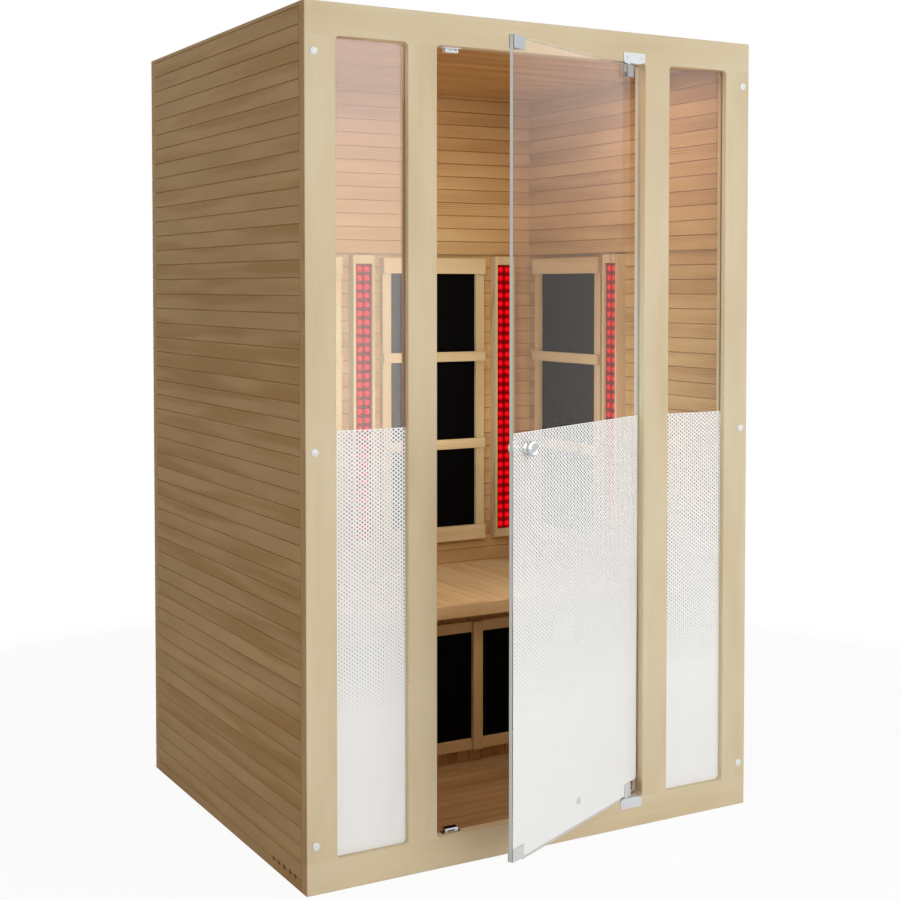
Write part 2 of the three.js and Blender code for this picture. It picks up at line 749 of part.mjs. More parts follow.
// Control panel with a display and raised keys, inside the left wall by the doorway
function controlPanel() {
  const face = -sideFace + CONTROL_THICKNESS;
  const middle = frameBack + CONTROL_FROM_FRONT;
  const half = CONTROL_WIDTH / 2;
  const low = CONTROL_LEVEL - CONTROL_HEIGHT / 2;
  const high = CONTROL_LEVEL + CONTROL_HEIGHT / 2;
  const outline = rectangle(middle - half, middle + half, low, high, CONTROL_RADIUS);
  const body = extrude(outline, "x", -sideFace, face, CONTROL_EDGE);
  const row = KEY_COUNT * KEY_SIZE + (KEY_COUNT - 1) * KEY_GAP;
  const keys = Array.from({ length: KEY_COUNT }, (_, i) => {
    const left = middle - row / 2 + i * (KEY_SIZE + KEY_GAP);
    return block(
      [face - CONTROL_EDGE, face + KEY_RELIEF],
      [left, left + KEY_SIZE],
      [low + KEY_GAP, low + KEY_GAP + KEY_SIZE],
    );
  });
  const display = block(
    [face - KEY_RELIEF, face + CONTROL_THICKNESS],
    [middle - row / 2, middle + row / 2],
    [high - KEY_GAP - DISPLAY_HEIGHT, high - KEY_GAP],
  );
  return cut(join([body, ...keys]), [display]);
}

function powerBox() {
  const half = POWER_BOX_WIDTH / 2;
  const outline = rectangle(
    -POWER_BOX_OFFSET - half,
    -POWER_BOX_OFFSET + half,
    FLOOR_THICKNESS,
    FLOOR_THICKNESS + POWER_BOX_HEIGHT,
    POWER_BOX_RADIUS,
  );
  return extrude(outline, "y", backFace - POWER_BOX_DEPTH, backFace);
}

piece(cabin, "control_panel", controlPanel(), "black");
piece(cabin, "power_box", powerBox(), "black");

// Door leaf and what is fixed to it
const door = new THREE.Group();
door.position.set(pivotX, pivotY, 0);
door.rotation.z = THREE.MathUtils.degToRad(DOOR_ANGLE);
cabin.add(door);

const studHole = STUD_RADIUS + STUD_CLEARANCE;
const studs = [
  [knobX, knobZ, KNOB_BASE_RADIUS],
  [leafCentre, leafCapLevels.upper, LEAF_CAP_RADIUS],
  [leafCentre, leafCapLevels.lower, LEAF_CAP_RADIUS],
];

function doorGlass() {
  const notch = NOTCH_WIDTH / 2;
  const outline = new THREE.Shape([
    point(freeEdge, leafBottom),
    point(-notch, leafBottom),
    point(-notch, leafBottom + NOTCH_HEIGHT),
    point(notch, leafBottom + NOTCH_HEIGHT),
    point(notch, leafBottom),
    point(heel, leafBottom),
    point(heel, leafTop),
    point(notch, leafTop),
    point(notch, leafTop - NOTCH_HEIGHT),
    point(-notch, leafTop - NOTCH_HEIGHT),
    point(-notch, leafTop),
    point(freeEdge, leafTop),
  ]);
  for (const [x, z] of studs) {
    outline.holes.push(circle(studHole, x, z, new THREE.Path()));
  }
  return extrude(outline, "y", -leafFace, leafFace, DOOR_EDGE);
}

// The film stops short of the lower strike plate and pivot clip, and leaves a hole round each stud's base
function doorFilm() {
  const left = freeEdge + FILM_CLEARANCE;
  const right = heel - FILM_CLEARANCE;
  const bottom = leafBottom + FILM_CLEARANCE;
  const strikeSide = freeEdge + STRIKE_WIDTH + FILM_CLEARANCE;
  const strikeTop = leafBottom + STRIKE_HEIGHT + FILM_CLEARANCE;
  const clipSide = -CLIP_WIDTH / 2 - FILM_CLEARANCE;
  const clipTop = leafBottom + CLIP_HEIGHT + FILM_CLEARANCE;
  const outline = new THREE.Shape([
    point(left, strikeTop),
    point(strikeSide, strikeTop),
    point(strikeSide, bottom),
    point(clipSide, bottom),
    point(clipSide, clipTop),
    point(right, clipTop),
    point(right, FILM_TOP),
    point(left, FILM_TOP),
  ]);
  for (const [x, z, radius] of studs) {
    outline.holes.push(circle(radius + FILM_CLEARANCE, x, z, new THREE.Path()));
  }
  const faceY = -leafFace - LEAF_GAP;
  return extrude(outline, "y", faceY - FILM_THICKNESS, faceY);
}

piece(door, "door_glass", doorGlass(), "glass");
piece(door, "door_film", doorFilm(), "film");

// Pivot clip: a block in the leaf's notch between two cheeks, bored for the pin
function pivotClip({ way, opening, leafEdge }) {
  const end = opening - way * (BRACKET_THICKNESS + COLLAR_HEIGHT + PIVOT_PLAY);
  const inner = leafFace + LEAF_GAP;
  const outer = inner + CLIP_PLATE;
  const half = CLIP_WIDTH / 2;
  const tail = leafEdge - way * CLIP_HEIGHT;
  const body = block([-half, half], [-outer, outer], span(tail, end), DOOR_EDGE);
  const slot = block(
    [-CLIP_WIDTH, CLIP_WIDTH],
    [-inner, inner],
    span(tail - way * CLIP_PLATE, leafEdge + way * LEAF_GAP),
  );
  const core = NOTCH_WIDTH / 2 - LEAF_GAP;
  const coreTail = leafEdge - way * (NOTCH_HEIGHT - LEAF_GAP);
  const filling = block(
    [-core, core],
    [-inner - CLIP_PLATE / 2, inner + CLIP_PLATE / 2],
    span(coreTail, end - way * DOOR_EDGE),
  );
  const boreEnd = end - way * (PIN_LENGTH + PIVOT_PLAY);
  const [from, to] = span(boreEnd, end + way * PIVOT_PLAY);
  const bore = drill(PIN_RADIUS + PIN_CLEARANCE, "z", from, to, 0, 0);
  return cut(join([cut(body, [slot]), filling]), [bore]);
}

// Strike plate: a channel over the leaf's edge at the free corner
function strikePlate({ way, leafEdge }) {
  const inner = leafFace + LEAF_GAP;
  const outer = inner + STRIKE_PLATE;
  const tail = leafEdge - way * STRIKE_HEIGHT;
  const rest = leafEdge + way * LEAF_GAP;
  const end = rest + way * STRIKE_PLATE;
  const outline = new THREE.Shape([
    point(-outer, tail),
    point(-inner, tail),
    point(-inner, rest),
    point(inner, rest),
    point(inner, tail),
    point(outer, tail),
    point(outer, end),
    point(-outer, end),
  ]);
  return extrude(outline, "x", freeEdge, freeEdge + STRIKE_WIDTH);
}

for (const [place, end] of Object.entries(hingeEnds)) {
  piece(door, `${place}_pivot_clip`, pivotClip(end), "chrome");
  piece(door, `${place}_strike_plate`, strikePlate(end), "chrome");
}

function sweepSeal() {
  const top = leafBottom - LEAF_GAP;
  const bottom = openingBottom + SEAL_CLEARANCE;
  const half = SEAL_WIDTH / 2;
  const lip = SEAL_LIP / 2;
  const outline = new THREE.Shape([
    point(-half, top),
    point(-half, top - SEAL_BODY),
    point(-lip, bottom),
    point(lip, bottom),
    point(half, top - SEAL_BODY),
    point(half, top),
  ]);
  const from = freeEdge + STRIKE_WIDTH + SEAL_END_GAP;
  return extrude(outline, "x", from, -CLIP_WIDTH / 2 - SEAL_PIVOT_GAP);
}

piece(door, "door_sweep_seal", sweepSeal(), "seal");

// Knob profile as radius and distance from the glass, from the middle of the face to the base
function knobProfile() {
  const path = new THREE.Path();
  const rimFoot = KNOB_PROJECTION - 2 * KNOB_RIM;
  path.moveTo(0, KNOB_PROJECTION);
  path.lineTo(KNOB_RADIUS - KNOB_RIM, KNOB_PROJECTION);
  path.quadraticCurveTo(KNOB_RADIUS, KNOB_PROJECTION, KNOB_RADIUS, KNOB_PROJECTION - KNOB_RIM);
  path.quadraticCurveTo(KNOB_RADIUS, rimFoot, KNOB_NECK_RADIUS, rimFoot - KNOB_RIM);
  path.lineTo(KNOB_NECK_RADIUS, LEAF_GAP + 2 * KNOB_BASE_HEIGHT);
  path.lineTo(KNOB_BASE_RADIUS, LEAF_GAP + KNOB_BASE_HEIGHT);
  path.lineTo(KNOB_BASE_RADIUS, LEAF_GAP);
  return path.getPoints(ARC_STEPS);
}

function outerKnob() {
  const tip = -DOOR_THICKNESS - STUD_ENGAGEMENT;
  const profile = [...knobProfile(), point(STUD_RADIUS, LEAF_GAP), point(STUD_RADIUS, tip), point(0, tip)];
  return revolve(profile.map((p) => point(p.x, -leafFace - p.y)));
}

function innerKnob() {
  const socket = STUD_ENGAGEMENT + STUD_CLEARANCE;
  const profile = [...knobProfile(), point(studHole, LEAF_GAP), point(studHole, socket), point(0, socket)];
  return revolve(profile.map((p) => point(p.x, leafFace + p.y)));
}

for (const [name, geometry] of [["outer", outerKnob()], ["inner", innerKnob()]]) {
  const knob = piece(door, `door_knob_${name}`, geometry, "chrome");
  knob.position.set(knobX, 0, knobZ);
}

function leafCap() {
  const top = dome(LEAF_CAP_RADIUS, LEAF_CAP_HEIGHT).reverse();
  top[0].x = 0;
  const profile = [
    ...top.map((p) => point(p.x, LEAF_GAP + p.y)),
    point(STUD_RADIUS, LEAF_GAP),
    point(STUD_RADIUS, -DOOR_THICKNESS),
    point(0, -DOOR_THICKNESS),
  ];
  return revolve(profile.map((p) => point(p.x, -leafFace - p.y)));
}

for (const [place, level] of Object.entries(leafCapLevels)) {
  const cap = piece(door, `door_cap_${place}`, leafCap(), "white");
  cap.position.set(leafCentre, 0, level);
}

export default cabin;
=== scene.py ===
# Looks of the infrared sauna cabin: finishes, dotted films, red lamps, turned fittings, light and camera.
import json
import math

import bmesh
import bpy
from mathutils import Matrix, Vector


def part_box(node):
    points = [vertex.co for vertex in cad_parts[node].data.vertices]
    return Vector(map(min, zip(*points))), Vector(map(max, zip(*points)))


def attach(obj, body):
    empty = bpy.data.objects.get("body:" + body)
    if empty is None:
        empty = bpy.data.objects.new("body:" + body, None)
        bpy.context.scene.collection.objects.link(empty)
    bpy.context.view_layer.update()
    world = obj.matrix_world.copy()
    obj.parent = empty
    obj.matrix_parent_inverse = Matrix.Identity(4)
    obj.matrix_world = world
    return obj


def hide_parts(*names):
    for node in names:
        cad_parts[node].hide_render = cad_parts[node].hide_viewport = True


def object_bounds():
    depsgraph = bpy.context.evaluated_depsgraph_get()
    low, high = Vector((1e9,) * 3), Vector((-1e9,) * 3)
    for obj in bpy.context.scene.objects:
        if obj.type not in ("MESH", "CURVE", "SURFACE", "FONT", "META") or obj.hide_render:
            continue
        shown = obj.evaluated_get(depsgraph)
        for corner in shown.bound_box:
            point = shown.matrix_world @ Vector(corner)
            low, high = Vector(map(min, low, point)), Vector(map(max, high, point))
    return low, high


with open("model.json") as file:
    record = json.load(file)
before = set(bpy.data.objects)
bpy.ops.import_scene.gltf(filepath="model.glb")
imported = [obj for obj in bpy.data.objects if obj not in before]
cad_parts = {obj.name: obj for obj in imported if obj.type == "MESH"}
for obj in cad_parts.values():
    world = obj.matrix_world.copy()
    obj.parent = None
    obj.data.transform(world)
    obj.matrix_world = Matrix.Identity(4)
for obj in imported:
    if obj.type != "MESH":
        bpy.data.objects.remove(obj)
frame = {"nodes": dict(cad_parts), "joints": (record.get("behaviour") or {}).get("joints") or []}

cad_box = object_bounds()
nodes = frame["nodes"]
MM = 0.001
FRONT = Vector((0, -1, 0))
UP = Vector((0, 0, 1))

# Camera at the photograph's place: image size and focal length in pixels, place in metres, angles in radians
IMAGE_SIZE = 900
FOCAL_PIXELS = 1502.8
SENSOR_WIDTH = 36.0
CAMERA_PLACE = (-1.8857, -3.3985, 1.2984)
CAMERA_YAW = 0.5136
CAMERA_PITCH = -0.0362
CAMERA_SHIFT = -0.12
CAMERA_REACH = 100

# Boards: their pitch, their joints, and the lines that the joints are counted from
BOARD_PITCH = 38.1 * MM
JOINT_HALF_WIDTH = 1.1 * MM
JOINT_CORE = 0.4
LINING_BOTTOM = 1395.7 * MM
FRAME_BACK = -470 * MM

# Walls: how far from the middle the colour of the inner boards reaches, in the side walls and the back wall
SIDE_WALL_INSIDE = 590 * MM
BACK_WALL_SIDES = 577 * MM
BACK_WALL_INSIDE = 485 * MM

# Front frame: where its rails lie, and where its sides begin, which take the walls' darker colour as painted
# shade.
# Heater guards: their rails, in millimetres from one end.
RAIL_HEIGHT = 70 * MM
CABIN_TOP = cad_box[1].z
FRAME_PAINTED_SHADE_SIDE = cad_box[1].x - 0.2 * MM
GUARD_RAILS = ((0, 43), (273, 301), (531, 559), (789, 834))

# Door leaf: its pivot, its angle at rest, which is as far as it turns to close, and its sizes and places
hinge = frame["joints"][0]
PIVOT = Vector(hinge["pos_m"])
DOOR_ANGLE = math.radians(-hinge["range_deg"][0])
LEAF_HEEL = 45 * MM
LEAF_FREE_EDGE = -515 * MM
LEAF_BOTTOM = 81 * MM
LEAF_HALF_THICKNESS = 5 * MM
LEAF_GAP = 0.3 * MM
KNOB_INSET = 48 * MM
KNOB_BELOW_FILM = 35 * MM
DOOR_CAP_BELOW_FILM = 60 * MM
DOOR_CAP_ABOVE_EDGE = 53 * MM

# Films: dots in staggered columns, smaller towards the plain lower part, and the corners of the outlines
FILM_THICKNESS = 0.6 * MM
FILM_CLEARANCE = 0.5 * MM
FILM_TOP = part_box("left_window_film")[1].z
DOT_COLUMN_PITCH = 6.3 * MM
DOT_ROW_PITCH = 9 * MM
DOT_RADIUS = 2.6 * MM
DOT_LEAST_RADIUS = 0.45 * MM
DOT_MARGIN = 4 * MM
DOT_SIDES = 6
DOTS_END = 372 * MM
LEAST_AREA = 1e-10
WINDOW_RADIUS = 10 * MM
STRIKE_SIZE = (44 * MM, 26 * MM)
CLIP_SIZE = (28 * MM, 28 * MM)

# Red lamps: two columns on a board. The light of a lamp falls off between two shares of its radius; past the
# dome, and as a dim glow all over the board, that light is painted on the board.
LAMP_PITCH = 25.4 * MM
LAMP_SPACING = 23 * MM
LAMP_RADIUS = 6.5 * MM
LAMP_RELIEF = 1.5 * MM
LAMP_SIDES = 12
LAMP_RINGS = 3
LAMP_BOARD_EDGE = 0.5 * MM
BOARD_PAINTED_GLOW = 0.14
LAMP_CORE = 0.95
LAMP_HEART = 0.2
LAMP_PAINTED_HALO = 2.0
LAMP_BODY = "2a0204"
LAMP_RED = (1.0, 0.0, 0.004, 1.0)
LAMP_ROUGHNESS = 0.35
LAMP_SPECULAR = 0.15

# Turned fittings, and the levels of the hinge plates that their screws stand on
TURNED_SIDES = 48
SHARP_EDGE = math.radians(35)
CAP_RIM = 1.2 * MM
DOOR_CAP_RADIUS = 8.5 * MM
DOOR_CAP_HEIGHT = 2.4 * MM
DOOR_CAP_RIM = 0.8 * MM
SCREW_RADIUS = 3.4 * MM
SCREW_HEIGHT = 1.3 * MM
SCREW_SOCKET = 1.5 * MM
SCREW_INSET = 11 * MM
HINGE_PLATE_LEVELS = {"top": 1841 * MM, "bottom": 59 * MM}

# Knob: radius and height in millimetres along the outline of its base, neck and head and its dished face
KNOB_BASE = [(11, 2.6), (10.4, 3.2), (8, 6)]
KNOB_NECK = [(8, 9), (9.4, 10.6), (12.6, 12.4), (15.4, 14.6)]
KNOB_HEAD = [(16.7, 17), (17, 19.2), (16.7, 21.2), (15.8, 22.7), (14.4, 23.6), (12.6, 24)]
KNOB_DISH = [(11.6, 23.7), (10.6, 23.1), (5, 22.8), (0, 22.7)]

# Plain white, of light and of mirrors
WHITE = "ffffff"


def colour(code):
    """Linear colour with alpha from a display colour written as six hex digits."""
    shares = [int(code[i : i + 2], 16) / 255 for i in (0, 2, 4)]
    linear = [s / 12.92 if s <= 0.04045 else ((s + 0.055) / 1.055) ** 2.4 for s in shares]
    return (*linear, 1.0)


class Shader:
    """Node tree of a material or the world, with short calls for the nodes that it needs."""

    def __init__(self, owner):
        self.owner = owner
        owner.use_nodes = True
        self.tree = owner.node_tree
        self.tree.nodes.clear()

    def feed(self, socket, value):
        if isinstance(value, bpy.types.NodeSocket):
            self.tree.links.new(value, socket)
        else:
            socket.default_value = value

    def add(self, kind, inputs, **settings):
        node = self.tree.nodes.new(kind)
        for key, value in settings.items():
            setattr(node, key, value)
        for key, value in inputs.items():
            self.feed(node.inputs[key], value)
        return node

    def math(self, operation, *values):
        return self.add("ShaderNodeMath", dict(enumerate(values)), operation=operation).outputs[0]

    def mix(self, factor, a, b):
        return self.add("ShaderNodeMix", {0: factor, 2: a, 3: b}).outputs[0]

    def mix_colour(self, factor, a, b):
        return self.add("ShaderNodeMix", {0: factor, 6: a, 7: b}, data_type="RGBA").outputs[2]

    def position(self):
        """The point's x, y and z in the part's own frame."""
        source = self.tree.nodes.new("ShaderNodeTexCoord").outputs["Object"]
        return self.add("ShaderNodeSeparateXYZ", {0: source}).outputs

    def vector(self, x, y, z):
        return self.add("ShaderNodeCombineXYZ", {0: x, 1: y, 2: z}).outputs[0]

    def noise(self, vector, stretch, detail=2.0):
        scaled = self.add("ShaderNodeVectorMath", {0: vector, 1: stretch}, operation="MULTIPLY").outputs[0]
        return self.add("ShaderNodeTexNoise", {"Vector": scaled, "Scale": 1.0, "Detail": detail}).outputs[0]

    def ramp(self, value, low, high):
        """0 up to low, 1 from high, and a smooth step between them."""
        inputs = {"Value": value, "From Min": low, "From Max": high}
        return self.add("ShaderNodeMapRange", inputs, interpolation_type="SMOOTHSTEP").outputs[0]

    def within(self, value, low, high):
        """1 between low and high, otherwise 0."""
        above = self.math("GREATER_THAN", value, low)
        return self.math("MULTIPLY", above, self.math("LESS_THAN", value, high))

    def bump(self, height, strength, distance):
        inputs = {"Height": height, "Strength": strength, "Distance": distance}
        return self.add("ShaderNodeBump", inputs).outputs[0]

    def principled(self, inputs):
        return self.add("ShaderNodeBsdfPrincipled", inputs).outputs[0]

    def finish(self, surface, output="ShaderNodeOutputMaterial"):
        self.add(output, {"Surface": surface})
        return self.owner


def new_material(name):
    return Shader(bpy.data.materials.new(name))


# Growth rings of the wood: how fast they follow each other across the grain, and how far they wander
RING_RATE = 2 * math.pi / (4.2 * MM)
RING_WARP = 46.0

# Noise that draws the wood: how fast it changes along the grain, across it and into the wood
PATCH_STRETCH = (2.6, 9, 9)
FIBRE_STRETCH = (14, 1300, 1300)
WARP_STRETCH = (2.0, 13, 13)
FLAME_STRETCH = (1.6, 22, 22)
FLAME_RANGE = (0.45, 0.68)

# What patches, fibres and rings count for in the tone of the wood and in its relief
LEAST_TONE = 0.05
PATCH_TONE = 0.9
FIBRE_TONE = 0.4
CALM_RINGS = 0.2
FIBRE_RELIEF = 0.7
RING_RELIEF = 0.3

# How far the grain is moved from piece to piece, along, across and into it, and the seeds of single pieces
GRAIN_STEPS = (9.1, 5.3, 3.7)
PLAIN_SEED = 0.5
STILE_SEED = 0.3
RAIL_SEED_STEP = 0.37

# Surface of the planed wood
WOOD_ROUGHNESS = 0.58
WOOD_ROUGHNESS_SPAN = 0.12
WOOD_SPECULAR = 0.12
WOOD_BUMP = 0.3
WOOD_RELIEF = 0.4 * MM

# Palettes of the woods: dark and light grain, then the shade in a joint
FRAME_WOOD = ("c3ad86", "dcceb0", "8f7850")
# The outer boards are the front frame's wood, painted darker and browner: their own colour with painted
# shade of the side walls
OUTER_WOOD_AND_SHADE = ("8f6a3d", "c09e6f", "b89261")
INNER_BOARDS = ("a57742", "d9b27c", "ad814a")
# The floor boards are the roof's wood painted darker, as painted shade on the floor
FLOOR_WOOD_AND_SHADE = ("8e673c", "bd9c6f", "7d5935")
GUARD_WOOD = ("c09a66", "e2c799", "7a5a33")
# The seat wood is lighter than the guard wood, in part as painted light on the seat
SEAT_WOOD_AND_LIGHT = ("cca873", "ead1a4", "8f6c40")

# Resin in the outer boards: its colour, and how much of it a rich patch takes on
RESIN = "9a6f2c"
RESIN_SHARE = 0.42


def grain(shader, along, across, depth, seed, figure):
    """Tone of the wood from 0, dark, to 1, light, the height of its fibres, and where its figure is rich.

    figure is how strong the rings are.
    """
    shift = [shader.math("MULTIPLY_ADD", seed, step, value)
             for step, value in zip(GRAIN_STEPS, (along, across, depth))]
    place = shader.vector(*shift)
    patch = shader.noise(place, PATCH_STRETCH)
    fibre = shader.noise(place, FIBRE_STRETCH)
    warp = shader.noise(place, WARP_STRETCH)
    flame = shader.ramp(shader.noise(place, FLAME_STRETCH, detail=1.0), *FLAME_RANGE)
    phase = shader.math("MULTIPLY_ADD", warp, RING_WARP, shader.math("MULTIPLY", shift[1], RING_RATE))
    ring = shader.math("MULTIPLY_ADD", shader.math("SINE", phase), 0.5, 0.5)
    lines = shader.math("MULTIPLY", ring, shader.math("MULTIPLY_ADD", flame, figure, CALM_RINGS * figure))
    threads = shader.math("MULTIPLY_ADD", fibre, FIBRE_TONE, LEAST_TONE)
    even = shader.math("MULTIPLY_ADD", patch, PATCH_TONE, threads)
    tone = shader.math("SUBTRACT", even, lines)
    ridges = shader.math("MULTIPLY", ring, RING_RELIEF)
    height = shader.math("MULTIPLY_ADD", fibre, FIBRE_RELIEF, ridges)
    return tone, height, flame


def wood(name, axes, palette, boards=None, rails=None, inner=None, spread=0.1, figure=0.6, resin=0):
    """Wood whose grain runs along the first of three axes.

    boards is the axis and origin of the board joints, rails the axis and the bands where the grain turns to
    run across, and inner the palette of the wood that is nearer the middle than each of its levels by axis.
    spread is how far boards differ in shade, figure how strong their rings are, and resin how much the rich
    patches outside the inner wood turn to the colour of resin.
    """
    shader = new_material(name)
    place = dict(zip("xyz", shader.position()))
    along, across, depth = (place[axis] for axis in axes)
    dark, light, joint = (colour(code) for code in palette)
    seed = PLAIN_SEED
    if rails:
        axis, bands = rails
        flags = [shader.within(place[axis], low, high) for low, high in bands]
        turned = flags[0]
        for flag in flags[1:]:
            turned = shader.math("ADD", turned, flag)
        along, across = shader.mix(turned, along, across), shader.mix(turned, across, along)
        seed = shader.math("MULTIPLY_ADD", turned, RAIL_SEED_STEP, STILE_SEED)
    if inner:
        inner_palette, levels = inner
        inside = 1.0
        for axis, level in levels.items():
            nearer = shader.math("LESS_THAN", shader.math("ABSOLUTE", place[axis]), level)
            inside = shader.math("MULTIPLY", inside, nearer)
        inner_shades = [colour(code) for code in inner_palette]
        dark, light, joint = (
            shader.mix_colour(inside, a, b) for a, b in zip((dark, light, joint), inner_shades)
        )
        resin = shader.math("MULTIPLY_ADD", inside, -resin, resin)
    if boards:
        axis, origin = boards
        count = shader.math("DIVIDE", shader.math("SUBTRACT", place[axis], origin), BOARD_PITCH)
        number = shader.math("FLOOR", count)
        seed = shader.add("ShaderNodeTexWhiteNoise", {"W": number}, noise_dimensions="1D").outputs[0]
    tone, height, rich = grain(shader, along, across, depth, seed, figure)
    shade = shader.mix_colour(tone, dark, light)
    shade = shader.mix_colour(shader.math("MULTIPLY", rich, resin), shade, colour(RESIN))
    if boards:
        value = shader.math("MULTIPLY_ADD", seed, spread, 1 - spread / 2)
        shade = shader.add("ShaderNodeHueSaturation", {"Value": value, "Color": shade}).outputs[0]
        nearest = shader.math("ABSOLUTE", shader.math("SUBTRACT", count, shader.math("ROUND", count)))
        joint_edge = JOINT_HALF_WIDTH / BOARD_PITCH
        open_wood = shader.ramp(nearest, JOINT_CORE * joint_edge, joint_edge)
        shade = shader.mix_colour(open_wood, joint, shade)
    inputs = {
        "Base Color": shade,
        "Roughness": shader.math("MULTIPLY_ADD", tone, WOOD_ROUGHNESS_SPAN, WOOD_ROUGHNESS),
        "Specular IOR Level": WOOD_SPECULAR,
        "Normal": shader.bump(height, WOOD_BUMP, WOOD_RELIEF),
    }
    return shader.finish(shader.principled(inputs))


def front_frame_wood():
    """Pale, quiet wood of the front frame: grain across in its rails, and on its sides the walls' darker
    colour as painted shade.
    """
    low = (-RAIL_HEIGHT, RAIL_HEIGHT)
    high = (CABIN_TOP - RAIL_HEIGHT, CABIN_TOP + RAIL_HEIGHT)
    return wood("front_wood", "zxy", OUTER_WOOD_AND_SHADE, rails=("z", (low, high)), figure=0.25,
                inner=(FRAME_WOOD, {"x": FRAME_PAINTED_SHADE_SIDE}))


def guard_wood(name, across, depth, lowest, upright=True):
    """Wood of a heater guard: stiles one way, rails the other."""
    bands = [(lowest + a * MM, lowest + b * MM) for a, b in GUARD_RAILS]
    if upright:
        return wood(name, "z" + across + depth, GUARD_WOOD, rails=("z", bands))
    return wood(name, across + "z" + depth, GUARD_WOOD, rails=(across, bands))


# Panes: how fast they mirror more towards a grazing look, the least cosine that counts as a face, and the
# gloss of the ground edge and its painted glow, an emission that paints the light caught in the glass on the
# edge
GRAZING_POWER = 5.0
FACE_COSINE = 0.5
EDGE_ROUGHNESS = 0.3
EDGE_PAINTED_GLOW = 0.08
GLASS_TINT = "fdf8f4"
WINDOW_EDGE = "b9bdb8"
LEAF_EDGE = "c2c4bf"


def glass(name, mirror, blur, edge, facing):
    """Clear pane that mirrors a little on its faces and has a pale ground edge with a painted glow.

    facing is the normal of its face, mirror the share of light that a straight look gets back, and blur how
    soft that is.
    """
    shader = new_material(name)
    facing_share = shader.add("ShaderNodeLayerWeight", {"Blend": 0.5}).outputs["Facing"]
    steep = shader.math("POWER", facing_share, GRAZING_POWER)
    gloss = shader.math("MULTIPLY_ADD", steep, 1 - mirror, mirror)
    clear = shader.add("ShaderNodeBsdfTransparent", {"Color": colour(GLASS_TINT)}).outputs[0]
    shine = shader.add("ShaderNodeBsdfGlossy", {"Color": colour(WHITE), "Roughness": blur}).outputs[0]
    pane = shader.add("ShaderNodeMixShader", {0: gloss, 1: clear, 2: shine}).outputs[0]
    normal = shader.tree.nodes.new("ShaderNodeTexCoord").outputs["Normal"]
    inputs = {0: normal, 1: facing}
    straight = shader.add("ShaderNodeVectorMath", inputs, operation="DOT_PRODUCT").outputs["Value"]
    is_face = shader.math("GREATER_THAN", shader.math("ABSOLUTE", straight), FACE_COSINE)
    # The ground edge gives off a faint painted glow in its own colour
    ground = shader.principled({"Base Color": colour(edge), "Roughness": EDGE_ROUGHNESS,
                                "Emission Color": colour(edge), "Emission Strength": EDGE_PAINTED_GLOW})
    return shader.finish(shader.add("ShaderNodeMixShader", {0: is_face, 1: ground, 2: pane}).outputs[0])


# Solid finishes: how much broader the slow grain is, how far the gloss varies, and how strong the relief is
BROAD_GRAIN = 40
GLOSS_SPAN = 0.12
SPECKLE_BUMP = 0.2

# Brushed metal: its lines, how far below the mean its roughness starts, and its relief
BRUSH_STRETCH = (2500, 2500, 60)
BRUSH_DROP = 0.05
BRUSH_BUMP = 0.06
BRUSH_RELIEF = 0.05 * MM


def speckled(name, base, roughness, scale, relief, metal=0.0, vary=0.04):
    """Solid finish with a fine grain in its colour, gloss and surface."""
    shader = new_material(name)
    place = shader.vector(*shader.position())
    fine = shader.noise(place, (scale, scale, scale), detail=3.0)
    slow = scale / BROAD_GRAIN
    broad = shader.noise(place, (slow, slow, slow))
    tone = shader.math("MULTIPLY_ADD", fine, vary, shader.math("MULTIPLY_ADD", broad, vary, 1 - vary))
    shade = shader.add("ShaderNodeHueSaturation", {"Value": tone, "Color": colour(base)}).outputs[0]
    inputs = {
        "Base Color": shade,
        "Roughness": shader.math("MULTIPLY_ADD", broad, GLOSS_SPAN, roughness - GLOSS_SPAN / 2),
        "Metallic": metal,
        "Normal": shader.bump(fine, SPECKLE_BUMP, relief),
    }
    return shader.finish(shader.principled(inputs))


def brushed(name, base, roughness):
    """Brushed or polished metal with faint lines along z."""
    shader = new_material(name)
    place = shader.vector(*shader.position())
    lines = shader.noise(place, BRUSH_STRETCH)
    inputs = {
        "Base Color": colour(base),
        "Metallic": 1.0,
        "Roughness": shader.math("MULTIPLY_ADD", lines, GLOSS_SPAN, roughness - BRUSH_DROP),
        "Normal": shader.bump(lines, BRUSH_BUMP, BRUSH_RELIEF),
    }
    return shader.finish(shader.principled(inputs))


# Carbon panel: its weave and clouds, what they count for in its tone, and its surface
WEAVE_RATE = 2400.0
CLOUD_STRETCH = (12, 12, 12)
WEAVE_TONE = 0.4
CLOUD_TONE = 0.6
CARBON_SHADES = ("010102", "050506")
CARBON_ROUGHNESS = 0.42
CARBON_ROUGHNESS_SPAN = 0.15
CARBON_SPECULAR = 0.06
CARBON_BUMP = 0.15
CARBON_RELIEF = 0.1 * MM


def carbon():
    """Black carbon heating panel: a fine weave under a satin skin."""
    shader = new_material("carbon_emitter")
    x, y, z = shader.position()
    side = shader.math("ADD", x, y)
    warp = shader.math("SINE", shader.math("MULTIPLY", side, WEAVE_RATE))
    weft = shader.math("SINE", shader.math("MULTIPLY", z, WEAVE_RATE))
    weave = shader.math("MULTIPLY_ADD", shader.math("MULTIPLY", warp, weft), 0.5, 0.5)
    cloud = shader.noise(shader.vector(x, y, z), CLOUD_STRETCH, detail=3.0)
    tone = shader.math("MULTIPLY_ADD", weave, WEAVE_TONE, shader.math("MULTIPLY", cloud, CLOUD_TONE))
    dark, light = (colour(code) for code in CARBON_SHADES)
    inputs = {
        "Base Color": shader.mix_colour(tone, dark, light),
        "Roughness": shader.math("MULTIPLY_ADD", cloud, CARBON_ROUGHNESS_SPAN, CARBON_ROUGHNESS),
        "Specular IOR Level": CARBON_SPECULAR,
        "Normal": shader.bump(weave, CARBON_BUMP, CARBON_RELIEF),
    }
    return shader.finish(shader.principled(inputs))


